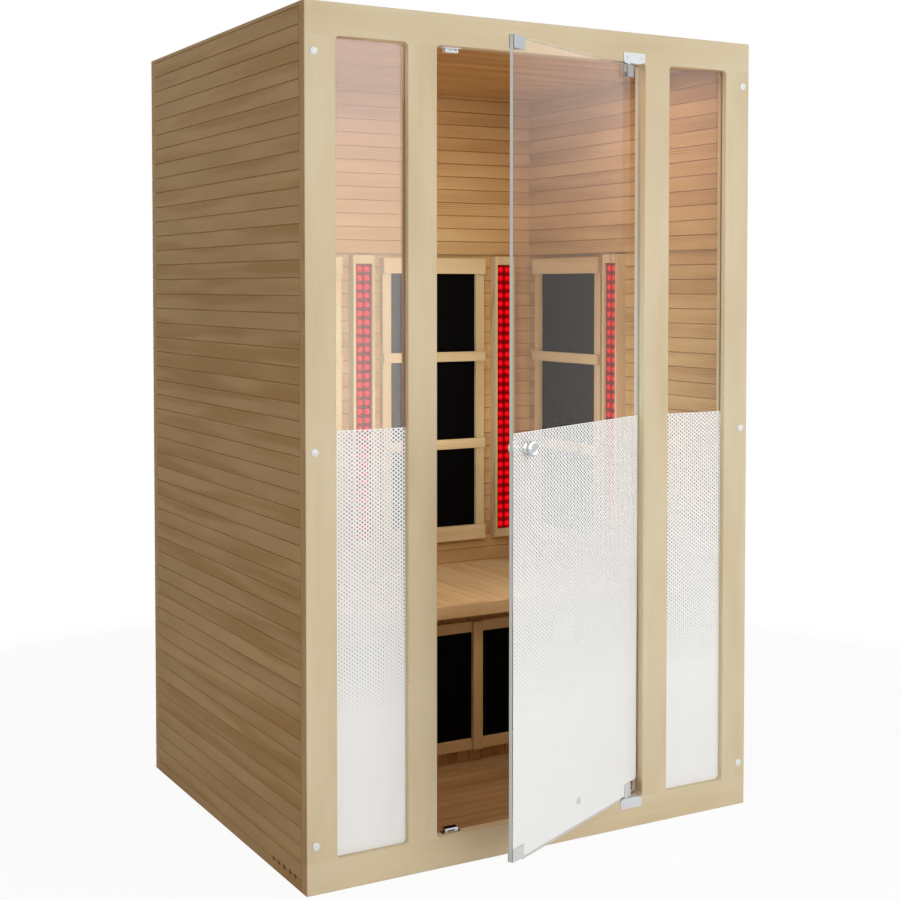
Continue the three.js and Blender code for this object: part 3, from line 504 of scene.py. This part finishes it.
def lamp_glow(name, first_row, centre, axis):
    """Red light of the lamp board: bright round each lamp, with painted light of the lamps glowing dimly on
    the board between them.
    """
    shader = new_material(name)
    place = dict(zip("xyz", shader.position()))
    off_centre = shader.math("ABSOLUTE", shader.math("SUBTRACT", place[axis], centre))
    side = shader.math("SUBTRACT", off_centre, LAMP_SPACING / 2)
    count = shader.math("DIVIDE", shader.math("SUBTRACT", place["z"], first_row), LAMP_PITCH)
    row = shader.math("ROUND", count)
    rise = shader.math("MULTIPLY", shader.math("SUBTRACT", count, row), LAMP_PITCH)
    far = shader.math("SQRT", shader.math("ADD", shader.math("POWER", shader.math("ABSOLUTE", side), 2.0),
                                          shader.math("POWER", shader.math("ABSOLUTE", rise), 2.0)))
    # The halo past each dome and the dim glow everywhere are painted light of the lamps on the board
    fall_off = shader.ramp(far, LAMP_HEART * LAMP_RADIUS, LAMP_PAINTED_HALO * LAMP_RADIUS)
    near = shader.math("SUBTRACT", 1.0, fall_off)
    strength = shader.math("MULTIPLY_ADD", near, LAMP_CORE, BOARD_PAINTED_GLOW)
    inputs = {
        "Base Color": colour(LAMP_BODY),
        "Roughness": LAMP_ROUGHNESS,
        "Specular IOR Level": LAMP_SPECULAR,
        "Emission Color": LAMP_RED,
        "Emission Strength": strength,
    }
    return shader.finish(shader.principled(inputs))


# Finishes of the CAD pieces
front_wood = front_frame_wood()
side_boards = wood("side_wall_boards", "yzx", OUTER_WOOD_AND_SHADE, ("z", LINING_BOTTOM), spread=0.05, figure=0.5,
                   resin=RESIN_SHARE, inner=(INNER_BOARDS, {"x": SIDE_WALL_INSIDE}))
back_boards = wood("back_wall_boards", "xzy", OUTER_WOOD_AND_SHADE, ("z", LINING_BOTTOM), spread=0.05, figure=0.4,
                   inner=(INNER_BOARDS, {"x": BACK_WALL_SIDES, "y": BACK_WALL_INSIDE}))
roof_boards = wood("roof_boards", "xyz", INNER_BOARDS, ("y", FRAME_BACK), spread=0.05, figure=0.4)
floor_boards = wood("floor_boards", "xyz", FLOOR_WOOD_AND_SHADE, ("y", FRAME_BACK))
seat_boards = wood("bench_boards", "yxz", SEAT_WOOD_AND_LIGHT, ("x", 0))
support_boards = wood("support_boards", "zxy", INNER_BOARDS, ("x", 0))
nosing_wood = wood("nosing_wood", "xzy", GUARD_WOOD)
upright_wood = wood("strip_wood", "zxy", GUARD_WOOD)
chrome = brushed("chrome", "c3c8ca", roughness=0.12)
satin_metal = speckled("satin_metal", "cccecd", roughness=0.35, scale=900, relief=0.02 * MM, metal=0.3)
# A darker copy of the satin metal, painted shade for the top fittings
painted_shade_metal = speckled("painted_shade_metal", "8f9597", roughness=0.35, scale=900, relief=0.02 * MM, metal=0.3)
white_metal = speckled("white_metal", "d3d6d9", roughness=0.3, scale=900, relief=0.02 * MM)
white_cap = speckled("white_cap", "dfe0df", roughness=0.25, scale=700, relief=0.02 * MM)
grey_cap = speckled("grey_cap", "d0d1d0", roughness=0.3, scale=700, relief=0.02 * MM)
grey_seal = speckled("grey_seal", "cbc6c3", roughness=0.5, scale=500, relief=0.05 * MM)
black_plastic = speckled("black_plastic", "1c1c1e", roughness=0.45, scale=1200, relief=0.08 * MM, vary=0.2)
film_white = speckled("film_white", "ececeb", roughness=0.42, scale=600, relief=0.01 * MM)
carbon_black = carbon()
leaf_normal = Vector((math.sin(DOOR_ANGLE), -math.cos(DOOR_ANGLE), 0))
left_glass = glass("left_window_glass", mirror=0.037, blur=0.08, edge=WINDOW_EDGE, facing=FRONT)
right_glass = glass("right_window_glass", mirror=0.03, blur=0.08, edge=WINDOW_EDGE, facing=FRONT)
door_glass = glass("door_glass", mirror=0.008, blur=0.1, edge=LEAF_EDGE, facing=leaf_normal)

finishes = {
    "left_wall_panel": side_boards,
    "right_wall_panel": side_boards,
    "back_wall_panel": back_boards,
    "floor_panel": floor_boards,
    "roof_panel": roof_boards,
    "front_frame": front_wood,
    "bench_seat": seat_boards,
    "bench_nosing": nosing_wood,
    "bench_support": support_boards,
    "control_panel": black_plastic,
    "power_box": black_plastic,
    "left_window_glass": left_glass,
    "right_window_glass": right_glass,
    "door_glass": door_glass,
    "door_sweep_seal": grey_seal,
    "top_catch": white_metal,
    "bottom_catch": chrome,
}
for side in ("left", "right"):
    finishes[f"{side}_window_bead"] = front_wood
for end in ("top", "bottom"):
    finishes[f"{end}_hinge_bracket"] = white_metal
    finishes[f"{end}_hinge_pin"] = chrome
    for fitting in ("pivot_clip", "strike_plate"):
        # The top clip and strike plate take the darker copy, as painted shade
        finishes[f"{end}_{fitting}"] = painted_shade_metal if end == "top" else satin_metal

# Heaters and light strips: the axis that each one spans, and the way that it faces
fixtures = {
    "back_left": ("x", FRONT),
    "back_centre": ("x", FRONT),
    "back_right": ("x", FRONT),
    "left": ("y", Vector((1, 0, 0))),
    "right": ("y", Vector((-1, 0, 0))),
}
heater_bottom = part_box("back_left_heater_guard")[0].z
guards = {axis: guard_wood(f"guard_wood_{axis}", axis, depth, heater_bottom)
          for axis, depth in (("x", "y"), ("y", "x"))}
calf_guard = guard_wood("guard_wood_calf", "x", "y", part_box("calf_heater_guard")[0].x, upright=False)
for place, (axis, _) in fixtures.items():
    finishes[f"{place}_strip_housing"] = upright_wood
    if place != "back_centre":
        finishes[f"{place}_heater_guard"] = guards[axis]
        finishes[f"{place}_heater_emitter"] = carbon_black
finishes["calf_heater_guard"] = calf_guard
finishes["calf_heater_emitter"] = carbon_black


def dress(obj, material):
    obj.data.materials.clear()
    obj.data.materials.append(material)


for node, material in finishes.items():
    dress(nodes[node], material)


def make_piece(name, mesh, body, material, replaced=()):
    """Object from a finished bmesh, riding on a body and standing for the CAD nodes that it replaces."""
    data = bpy.data.meshes.new(name)
    mesh.to_mesh(data)
    mesh.free()
    piece = bpy.data.objects.new(name, data)
    bpy.context.scene.collection.objects.link(piece)
    dress(piece, material)
    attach(piece, body)
    if replaced:
        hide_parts(*replaced)


def smooth(mesh):
    """Smooth shading that keeps the sharp edges."""
    bmesh.ops.recalc_face_normals(mesh, faces=mesh.faces)
    for face in mesh.faces:
        face.smooth = True
    for edge in mesh.edges:
        edge.smooth = edge.calc_face_angle(0) < SHARP_EDGE


def leaf_point(across, inward, up):
    """Point of the door leaf at rest, from its place along the closed leaf, into the cabin and up."""
    local = Vector((across, inward, up))
    return PIVOT + Matrix.Rotation(DOOR_ANGLE, 3, "Z") @ local


# Dotted films

def dot_sites(left, right, top, end):
    """Dots by column and row, with a ring of bare points on the border round them: centre and radius."""
    columns = int((right - left - 2 * DOT_MARGIN) / DOT_COLUMN_PITCH) + 1
    first = (left + right - (columns - 1) * DOT_COLUMN_PITCH) / 2
    start = top - DOT_MARGIN
    rows = int((start - end) / DOT_ROW_PITCH)
    floor = start - rows * DOT_ROW_PITCH
    sites = {}
    for column in range(-1, columns + 1):
        for row in range(-1, rows + 1):
            across = first + column * DOT_COLUMN_PITCH
            up = start - (row + 0.5 * (column % 2)) * DOT_ROW_PITCH
            bare = column in (-1, columns) or row in (-1, rows)
            if column == -1:
                across = left
            if column == columns:
                across = right
            if row == -1:
                up = top
            up = max(up, floor)
            share = (up - floor) / (start - floor)
            radius = 0 if bare else DOT_LEAST_RADIUS + (DOT_RADIUS - DOT_LEAST_RADIUS) * math.sqrt(share)
            sites[column, row] = (across, up, radius)
    return sites, columns, rows


def dotted_film(name, left, right, outline, place, body, node):
    """Film with six-sided dot holes, joined by strips to their neighbours, and a plain sheet below them."""
    sites, columns, rows = dot_sites(left, right, FILM_TOP, DOTS_END)
    mesh = bmesh.new()
    corners = {}
    for site, (across, up, radius) in sites.items():
        turns = [math.radians(360 * k / DOT_SIDES) for k in range(DOT_SIDES)] if radius else [0]
        spots = [(across + radius * math.cos(t), up + radius * math.sin(t)) for t in turns]
        ring = [mesh.verts.new(place(*spot)) for spot in spots]
        corners[site] = ring if radius else ring * DOT_SIDES
    # Strips between neighbours. The corners of a dot are counted from its right end, upwards and round.
    for column, row in sites:
        odd = column % 2
        here = corners[column, row]
        above = corners.get((column, row - 1))
        upper = corners.get((column + 1, row - 1 + odd))
        lower = corners.get((column + 1, row + odd))
        faces = []
        if above:
            faces.append((here[2], here[1], above[5], above[4]))
        if upper:
            faces.append((here[0], upper[4], upper[3], here[1]))
        if lower:
            faces.append((here[5], lower[3], lower[2], here[0]))
        if above and upper:
            faces.append((here[1], upper[3], above[5]))
        if upper and lower:
            faces.append((here[0], lower[2], upper[4]))
        for face in faces:
            distinct = list(dict.fromkeys(face))
            if len(distinct) > 2:
                mesh.faces.new(distinct)
    hem = [corners[column, rows][0] for column in range(columns, -2, -1)]
    mesh.faces.new([mesh.verts.new(place(across, up)) for across, up in outline] + hem)
    flat = [face for face in mesh.faces if face.calc_area() < LEAST_AREA]
    bmesh.ops.delete(mesh, geom=flat, context="FACES_ONLY")
    loose = [vertex for vertex in mesh.verts if not vertex.link_faces]
    bmesh.ops.delete(mesh, geom=loose, context="VERTS")
    back = bmesh.ops.extrude_face_region(mesh, geom=list(mesh.faces))["geom"]
    inward = place(left, FILM_TOP, FILM_THICKNESS) - place(left, FILM_TOP)
    for item in back:
        if isinstance(item, bmesh.types.BMVert):
            item.co += inward
    bmesh.ops.recalc_face_normals(mesh, faces=mesh.faces)
    make_piece(name, mesh, body, film_white, [node])


def arc(across, up, radius, start, end, steps=6):
    """Points of an arc between two angles in degrees."""
    angles = [math.radians(start + (end - start) * i / steps) for i in range(steps + 1)]
    return [(across + radius * math.cos(a), up + radius * math.sin(a)) for a in angles]


def window_film(side):
    low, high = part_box(f"{side}_window_film")
    left_corner = arc(low.x + WINDOW_RADIUS, low.z + WINDOW_RADIUS, WINDOW_RADIUS, 180, 270)
    right_corner = arc(high.x - WINDOW_RADIUS, low.z + WINDOW_RADIUS, WINDOW_RADIUS, 270, 360)

    def place(across, up, inward=0):
        return Vector((across, low.y + inward, up))

    dotted_film(f"{side}_window_dotted_film", low.x, high.x, left_corner + right_corner, place, "cabin",
                f"{side}_window_film")


def door_film():
    left = LEAF_FREE_EDGE + FILM_CLEARANCE
    right = LEAF_HEEL - FILM_CLEARANCE
    bottom = LEAF_BOTTOM + FILM_CLEARANCE
    strike_side = LEAF_FREE_EDGE + STRIKE_SIZE[0] + FILM_CLEARANCE
    strike_top = LEAF_BOTTOM + STRIKE_SIZE[1] + FILM_CLEARANCE
    clip_side = -CLIP_SIZE[0] / 2 - FILM_CLEARANCE
    clip_top = LEAF_BOTTOM + CLIP_SIZE[1] + FILM_CLEARANCE
    face = -LEAF_HALF_THICKNESS - LEAF_GAP - FILM_THICKNESS
    outline = [(left, strike_top), (strike_side, strike_top), (strike_side, bottom),
               (clip_side, bottom), (clip_side, clip_top), (right, clip_top)]

    def place(across, up, inward=0):
        return leaf_point(across, face + inward, up)

    dotted_film("door_dotted_film", left, right, outline, place, "door", "door_film")


for side in ("left", "right"):
    window_film(side)
door_film()


# Red lamps

def lamp_array(place, axis, facing):
    """Lamp board with two columns of domed red lamps."""
    node = f"{place}_strip_lamps"
    low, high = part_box(node)
    size = high - low
    across = UP.cross(facing)
    middle = (low + high) / 2
    depth = abs(size.dot(facing))
    width = abs(size.dot(across))
    face = middle + facing * (depth / 2 - LAMP_RELIEF)
    board_depth = depth - LAMP_RELIEF
    mesh = bmesh.new()
    turn = Matrix((across, facing, UP)).transposed().to_4x4()
    turn.translation = face - facing * board_depth / 2
    shape = Matrix.Diagonal((width, board_depth, size.z, 1))
    bmesh.ops.create_cube(mesh, size=1, matrix=turn @ shape)
    bmesh.ops.bevel(mesh, geom=list(mesh.edges), offset=LAMP_BOARD_EDGE, segments=2, affect="EDGES")
    rows = int((size.z - 2 * LAMP_RADIUS) / LAMP_PITCH) + 1
    first = middle.z - (rows - 1) * LAMP_PITCH / 2
    for row in range(rows):
        for column in (-1, 1):
            centre = face + across * column * LAMP_SPACING / 2
            centre.z = first + row * LAMP_PITCH
            add_dome(mesh, centre, across, facing)
    smooth(mesh)
    middle_across = middle.x if axis == "x" else middle.y
    glow = lamp_glow(f"{place}_lamps", first, middle_across, axis)
    make_piece(f"{place}_lamp_array", mesh, "cabin", glow, [node])


def add_dome(mesh, centre, across, facing):
    """Low dome that stands on the face of its board."""
    rings = []
    for ring in range(LAMP_RINGS):
        tilt = math.radians(90 * ring / LAMP_RINGS)
        reach = LAMP_RADIUS * math.cos(tilt)
        middle = centre + facing * LAMP_RELIEF * math.sin(tilt)
        turns = [2 * math.pi * side / LAMP_SIDES for side in range(LAMP_SIDES)]
        points = [middle + across * reach * math.cos(t) + UP * reach * math.sin(t) for t in turns]
        rings.append([mesh.verts.new(point) for point in points])
    top = mesh.verts.new(centre + facing * LAMP_RELIEF)
    for lower, upper in zip(rings, rings[1:]):
        for side in range(LAMP_SIDES):
            after = (side + 1) % LAMP_SIDES
            mesh.faces.new((lower[side], lower[after], upper[after], upper[side]))
    for side in range(LAMP_SIDES):
        mesh.faces.new((rings[-1][side], rings[-1][(side + 1) % LAMP_SIDES], top))
    mesh.faces.new(rings[0][::-1])


for place, (axis, facing) in fixtures.items():
    lamp_array(place, axis, facing)


# Turned fittings

def turned(name, profile, foot, direction, body, slot, material, replaced=()):
    """Solid of revolution from points of radius and height above the foot, along a direction."""
    mesh = bmesh.new()
    add_turned(mesh, profile, foot, direction)
    smooth(mesh)
    make_piece(name, mesh, body, material, replaced)


def add_turned(mesh, profile, foot, direction):
    """The rings of a turned solid and the faces between them; a radius of 0 closes it to a point."""
    frame_turn = direction.to_track_quat("Z", "Y").to_matrix()
    rings = []
    for radius, height in profile:
        count = TURNED_SIDES if radius > 0 else 1
        angles = [2 * math.pi * i / TURNED_SIDES for i in range(count)]
        points = [Vector((radius * math.cos(a), radius * math.sin(a), height)) for a in angles]
        rings.append([mesh.verts.new(foot + frame_turn @ point) for point in points])
    for lower, upper in zip(rings, rings[1:]):
        for i in range(TURNED_SIDES):
            after = (i + 1) % TURNED_SIDES
            corners = [lower[i % len(lower)], lower[after % len(lower)],
                       upper[after % len(upper)], upper[i % len(upper)]]
            distinct = list(dict.fromkeys(corners))
            if len(distinct) > 2:
                mesh.faces.new(distinct)


def dome_profile(radius, height, rim, steps=8):
    """Flat foot, a short upright rim and a domed top."""
    points = [(0, 0), (radius, 0), (radius, rim)]
    for step in range(1, steps):
        angle = math.radians(90 * step / steps)
        points.append((radius * math.cos(angle), rim + (height - rim) * math.sin(angle)))
    return points + [(0, height)]


def knob_profile(sunk):
    """Base, neck and rounded head with a shallow dish; sunk is how much of the base the film hides."""
    foot = [(0, sunk), (KNOB_BASE[0][0], sunk)]
    points = foot + KNOB_BASE + KNOB_NECK + KNOB_HEAD + KNOB_DISH
    return [(radius * MM, height * MM) for radius, height in points]


for side in ("left", "right"):
    for level in ("bottom", "middle", "top"):
        node = f"cap_{side}_{level}"
        low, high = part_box(node)
        foot = Vector(((low.x + high.x) / 2, high.y, (low.z + high.z) / 2))
        profile = dome_profile((high.x - low.x) / 2, high.y - low.y, CAP_RIM)
        turned(f"{node}_dome", profile, foot, FRONT, "cabin", "white_plastic", white_cap, [node])

knob_across = LEAF_FREE_EDGE + KNOB_INSET
for which, way, sunk in (("outer", -1, FILM_THICKNESS / MM), ("inner", 1, 0)):
    foot = leaf_point(knob_across, way * (LEAF_HALF_THICKNESS + LEAF_GAP), FILM_TOP - KNOB_BELOW_FILM)
    turned(f"door_knob_{which}_turned", knob_profile(sunk), foot, -way * leaf_normal,
           "door", "hardware", chrome, [f"door_knob_{which}"])

leaf_middle = (LEAF_HEEL + LEAF_FREE_EDGE) / 2
door_cap_levels = {"upper": FILM_TOP - DOOR_CAP_BELOW_FILM, "lower": LEAF_BOTTOM + DOOR_CAP_ABOVE_EDGE}
door_cap_profile = dome_profile(DOOR_CAP_RADIUS, DOOR_CAP_HEIGHT, DOOR_CAP_RIM)
for which, level in door_cap_levels.items():
    foot = leaf_point(leaf_middle, -LEAF_HALF_THICKNESS - LEAF_GAP - FILM_THICKNESS, level)
    turned(f"door_cap_{which}_disc", door_cap_profile, foot, leaf_normal,
           "door", "white_plastic", grey_cap, [f"door_cap_{which}"])


def screw_profile():
    """Button head with a round socket, in shares of its radius, height and socket."""
    return [
        (0, 0),
        (SCREW_RADIUS, 0),
        (SCREW_RADIUS, 0.3 * SCREW_HEIGHT),
        (0.8 * SCREW_RADIUS, 0.8 * SCREW_HEIGHT),
        (1.15 * SCREW_SOCKET, SCREW_HEIGHT),
        (SCREW_SOCKET, 0.9 * SCREW_HEIGHT),
        (SCREW_SOCKET, 0.25 * SCREW_HEIGHT),
        (0, 0.2 * SCREW_HEIGHT),
    ]


for end, level in HINGE_PLATE_LEVELS.items():
    low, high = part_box(f"{end}_hinge_bracket")
    mesh = bmesh.new()
    for across in (low.x + SCREW_INSET, high.x - SCREW_INSET):
        add_turned(mesh, screw_profile(), Vector((across, low.y, level)), FRONT)
    smooth(mesh)
    make_piece(f"{end}_hinge_screws", mesh, "cabin", white_metal)


# Floor: how far it is lifted to white where the shadow lies, and between which distances it fades to white
FLOOR_WHITENESS = 0.93
FLOOR_FADE = (0.5, 2.4)
FLOOR_REACH = 40
FLOOR_COLOUR = "f4f4f3"
FLOOR_ROUGHNESS = 0.8
FLOOR_SPECULAR = 0.1

# World: the share of sideways that counts as behind, where that begins and ends, and where the mirrored
# sheet overhead rises out of the horizon
SIDEWAYS_SHARE = 0.75
BEHIND_RANGE = (0.1, 1.1)
SHEET_RANGE = (0.02, 0.14)


def stage_floor():
    """Pale floor that keeps the shadow near the cabin and fades to white far from it."""
    shader = new_material("stage_floor")
    x, y, _ = shader.position()
    squares = shader.math("ADD", shader.math("MULTIPLY", x, x), shader.math("MULTIPLY", y, y))
    fade = shader.ramp(shader.math("SQRT", squares), *FLOOR_FADE)
    rays = shader.tree.nodes.new("ShaderNodeLightPath").outputs
    seen = shader.math("MAXIMUM", rays["Is Camera Ray"],
                       shader.math("MAXIMUM", rays["Is Glossy Ray"], rays["Is Transmission Ray"]))
    pale = shader.principled({"Base Color": colour(FLOOR_COLOUR), "Roughness": FLOOR_ROUGHNESS,
                              "Specular IOR Level": FLOOR_SPECULAR})
    white = shader.add("ShaderNodeEmission", {"Color": colour(WHITE), "Strength": 1.0}).outputs[0]
    share = shader.math("MULTIPLY", shader.math("MAXIMUM", fade, FLOOR_WHITENESS), seen)
    material = shader.finish(shader.add("ShaderNodeMixShader", {0: share, 1: pale, 2: white}).outputs[0])
    mesh = bmesh.new()
    bmesh.ops.create_grid(mesh, x_segments=2, y_segments=2, size=FLOOR_REACH)
    data = bpy.data.meshes.new("stage_floor")
    mesh.to_mesh(data)
    mesh.free()
    floor = bpy.data.objects.new("stage_floor", data)
    bpy.context.scene.collection.objects.link(floor)
    dress(floor, material)


def studio_world(ambient, behind, overhead):
    """Soft light from all round, stronger behind the cabin, and a white background where it is seen.

    Mirrors and glass show that background too, with a bright sheet overhead that rises out of it.
    """
    shader = Shader(bpy.data.worlds.new("studio"))
    direction = shader.tree.nodes.new("ShaderNodeTexCoord").outputs["Generated"]
    x, y, z = shader.add("ShaderNodeSeparateXYZ", {0: direction}).outputs
    rays = shader.tree.nodes.new("ShaderNodeLightPath").outputs
    rearward = shader.ramp(shader.math("MULTIPLY_ADD", x, SIDEWAYS_SHARE, y), *BEHIND_RANGE)
    soft = shader.mix(rearward, ambient, behind)
    mirrored = shader.mix(shader.ramp(z, *SHEET_RANGE), 1.0, overhead)
    shown = shader.math("MAXIMUM", rays["Is Glossy Ray"], rays["Is Transmission Ray"])
    strength = shader.mix(shown, soft, mirrored)
    strength = shader.mix(rays["Is Camera Ray"], strength, 1.0)
    inputs = {"Color": colour(WHITE), "Strength": strength}
    background = shader.add("ShaderNodeBackground", inputs).outputs[0]
    bpy.context.scene.world = shader.finish(background, "ShaderNodeOutputWorld")


def area_light(name, place, target, size, power, tint=WHITE, hidden=False, spread=180):
    """Rectangular light that the camera never sees; a hidden one isn't mirrored either."""
    data = bpy.data.lights.new(name, "AREA")
    data.shape = "RECTANGLE"
    data.size, data.size_y = size
    data.energy = power
    data.color = colour(tint)[:3]
    data.spread = math.radians(spread)
    light = bpy.data.objects.new(name, data)
    light.location = place
    light.rotation_euler = (Vector(target) - Vector(place)).to_track_quat("-Z", "Y").to_euler()
    light.visible_camera = False
    light.visible_glossy = not hidden
    bpy.context.scene.collection.objects.link(light)


stage_floor()
studio_world(ambient=0.36, behind=0.6, overhead=2.8)

# Light on the front and on the left wall
area_light("key", place=(-0.4, -5.2, 2.2), target=(0, -0.5, 0.95), size=(2.4, 2.6), power=68, hidden=True)
area_light("softbox", place=(1.8, -4.6, 1.6), target=(0, -0.5, 1.1), size=(2.4, 3.0), power=54)
area_light("side_wash", place=(-1.5, -1.0, 0.95), target=(-0.6, -0.4, 0.9), size=(0.4, 1.4), power=1.0,
           hidden=True)

# Light inside the cabin: warm on the ceiling, bench and floor, cool on the walls behind the glass
area_light("cabin_light", place=(0, -0.2, 1.85), target=(0, -0.1, 0), size=(0.9, 0.6), power=4.0,
           tint="fff0e6", hidden=True)
area_light("ceiling_wash", place=(0, 0.1, 0.7), target=(0, -0.1, 2), size=(0.8, 0.6), power=1.2,
           tint="fff4ec", hidden=True)
area_light("bench_light", place=(0, -0.3, 0.95), target=(0, 0.1, 0.42), size=(0.8, 0.3), power=1.4,
           tint="fff4ec", hidden=True)
area_light("back_wash", place=(-0.35, -0.1, 1.15), target=(-0.05, 0.47, 1.05), size=(0.4, 0.8), power=1.4,
           tint="82d4ff", hidden=True, spread=90)
area_light("corner_wash", place=(-0.1, -0.1, 1.5), target=(0.42, 0.47, 1.55), size=(0.3, 0.5), power=0.16,
           tint="b4e6ff", hidden=True, spread=70)
area_light("right_wash", place=(-0.15, -0.2, 1.0), target=(0.57, -0.2, 0.98), size=(0.5, 0.7), power=1.8,
           tint="b4e6ff", hidden=True, spread=110)

camera_data = bpy.data.cameras.new("camera")
camera_data.sensor_width = SENSOR_WIDTH
camera_data.lens = FOCAL_PIXELS * SENSOR_WIDTH / IMAGE_SIZE
camera_data.shift_y = CAMERA_SHIFT
camera_data.clip_end = CAMERA_REACH
camera = bpy.data.objects.new("camera", camera_data)
camera.location = CAMERA_PLACE
camera.rotation_euler = (math.pi / 2 + CAMERA_PITCH, 0, -CAMERA_YAW)
bpy.context.scene.collection.objects.link(camera)
bpy.context.scene.camera = camera
bpy.context.scene.view_settings.view_transform = "Standard"
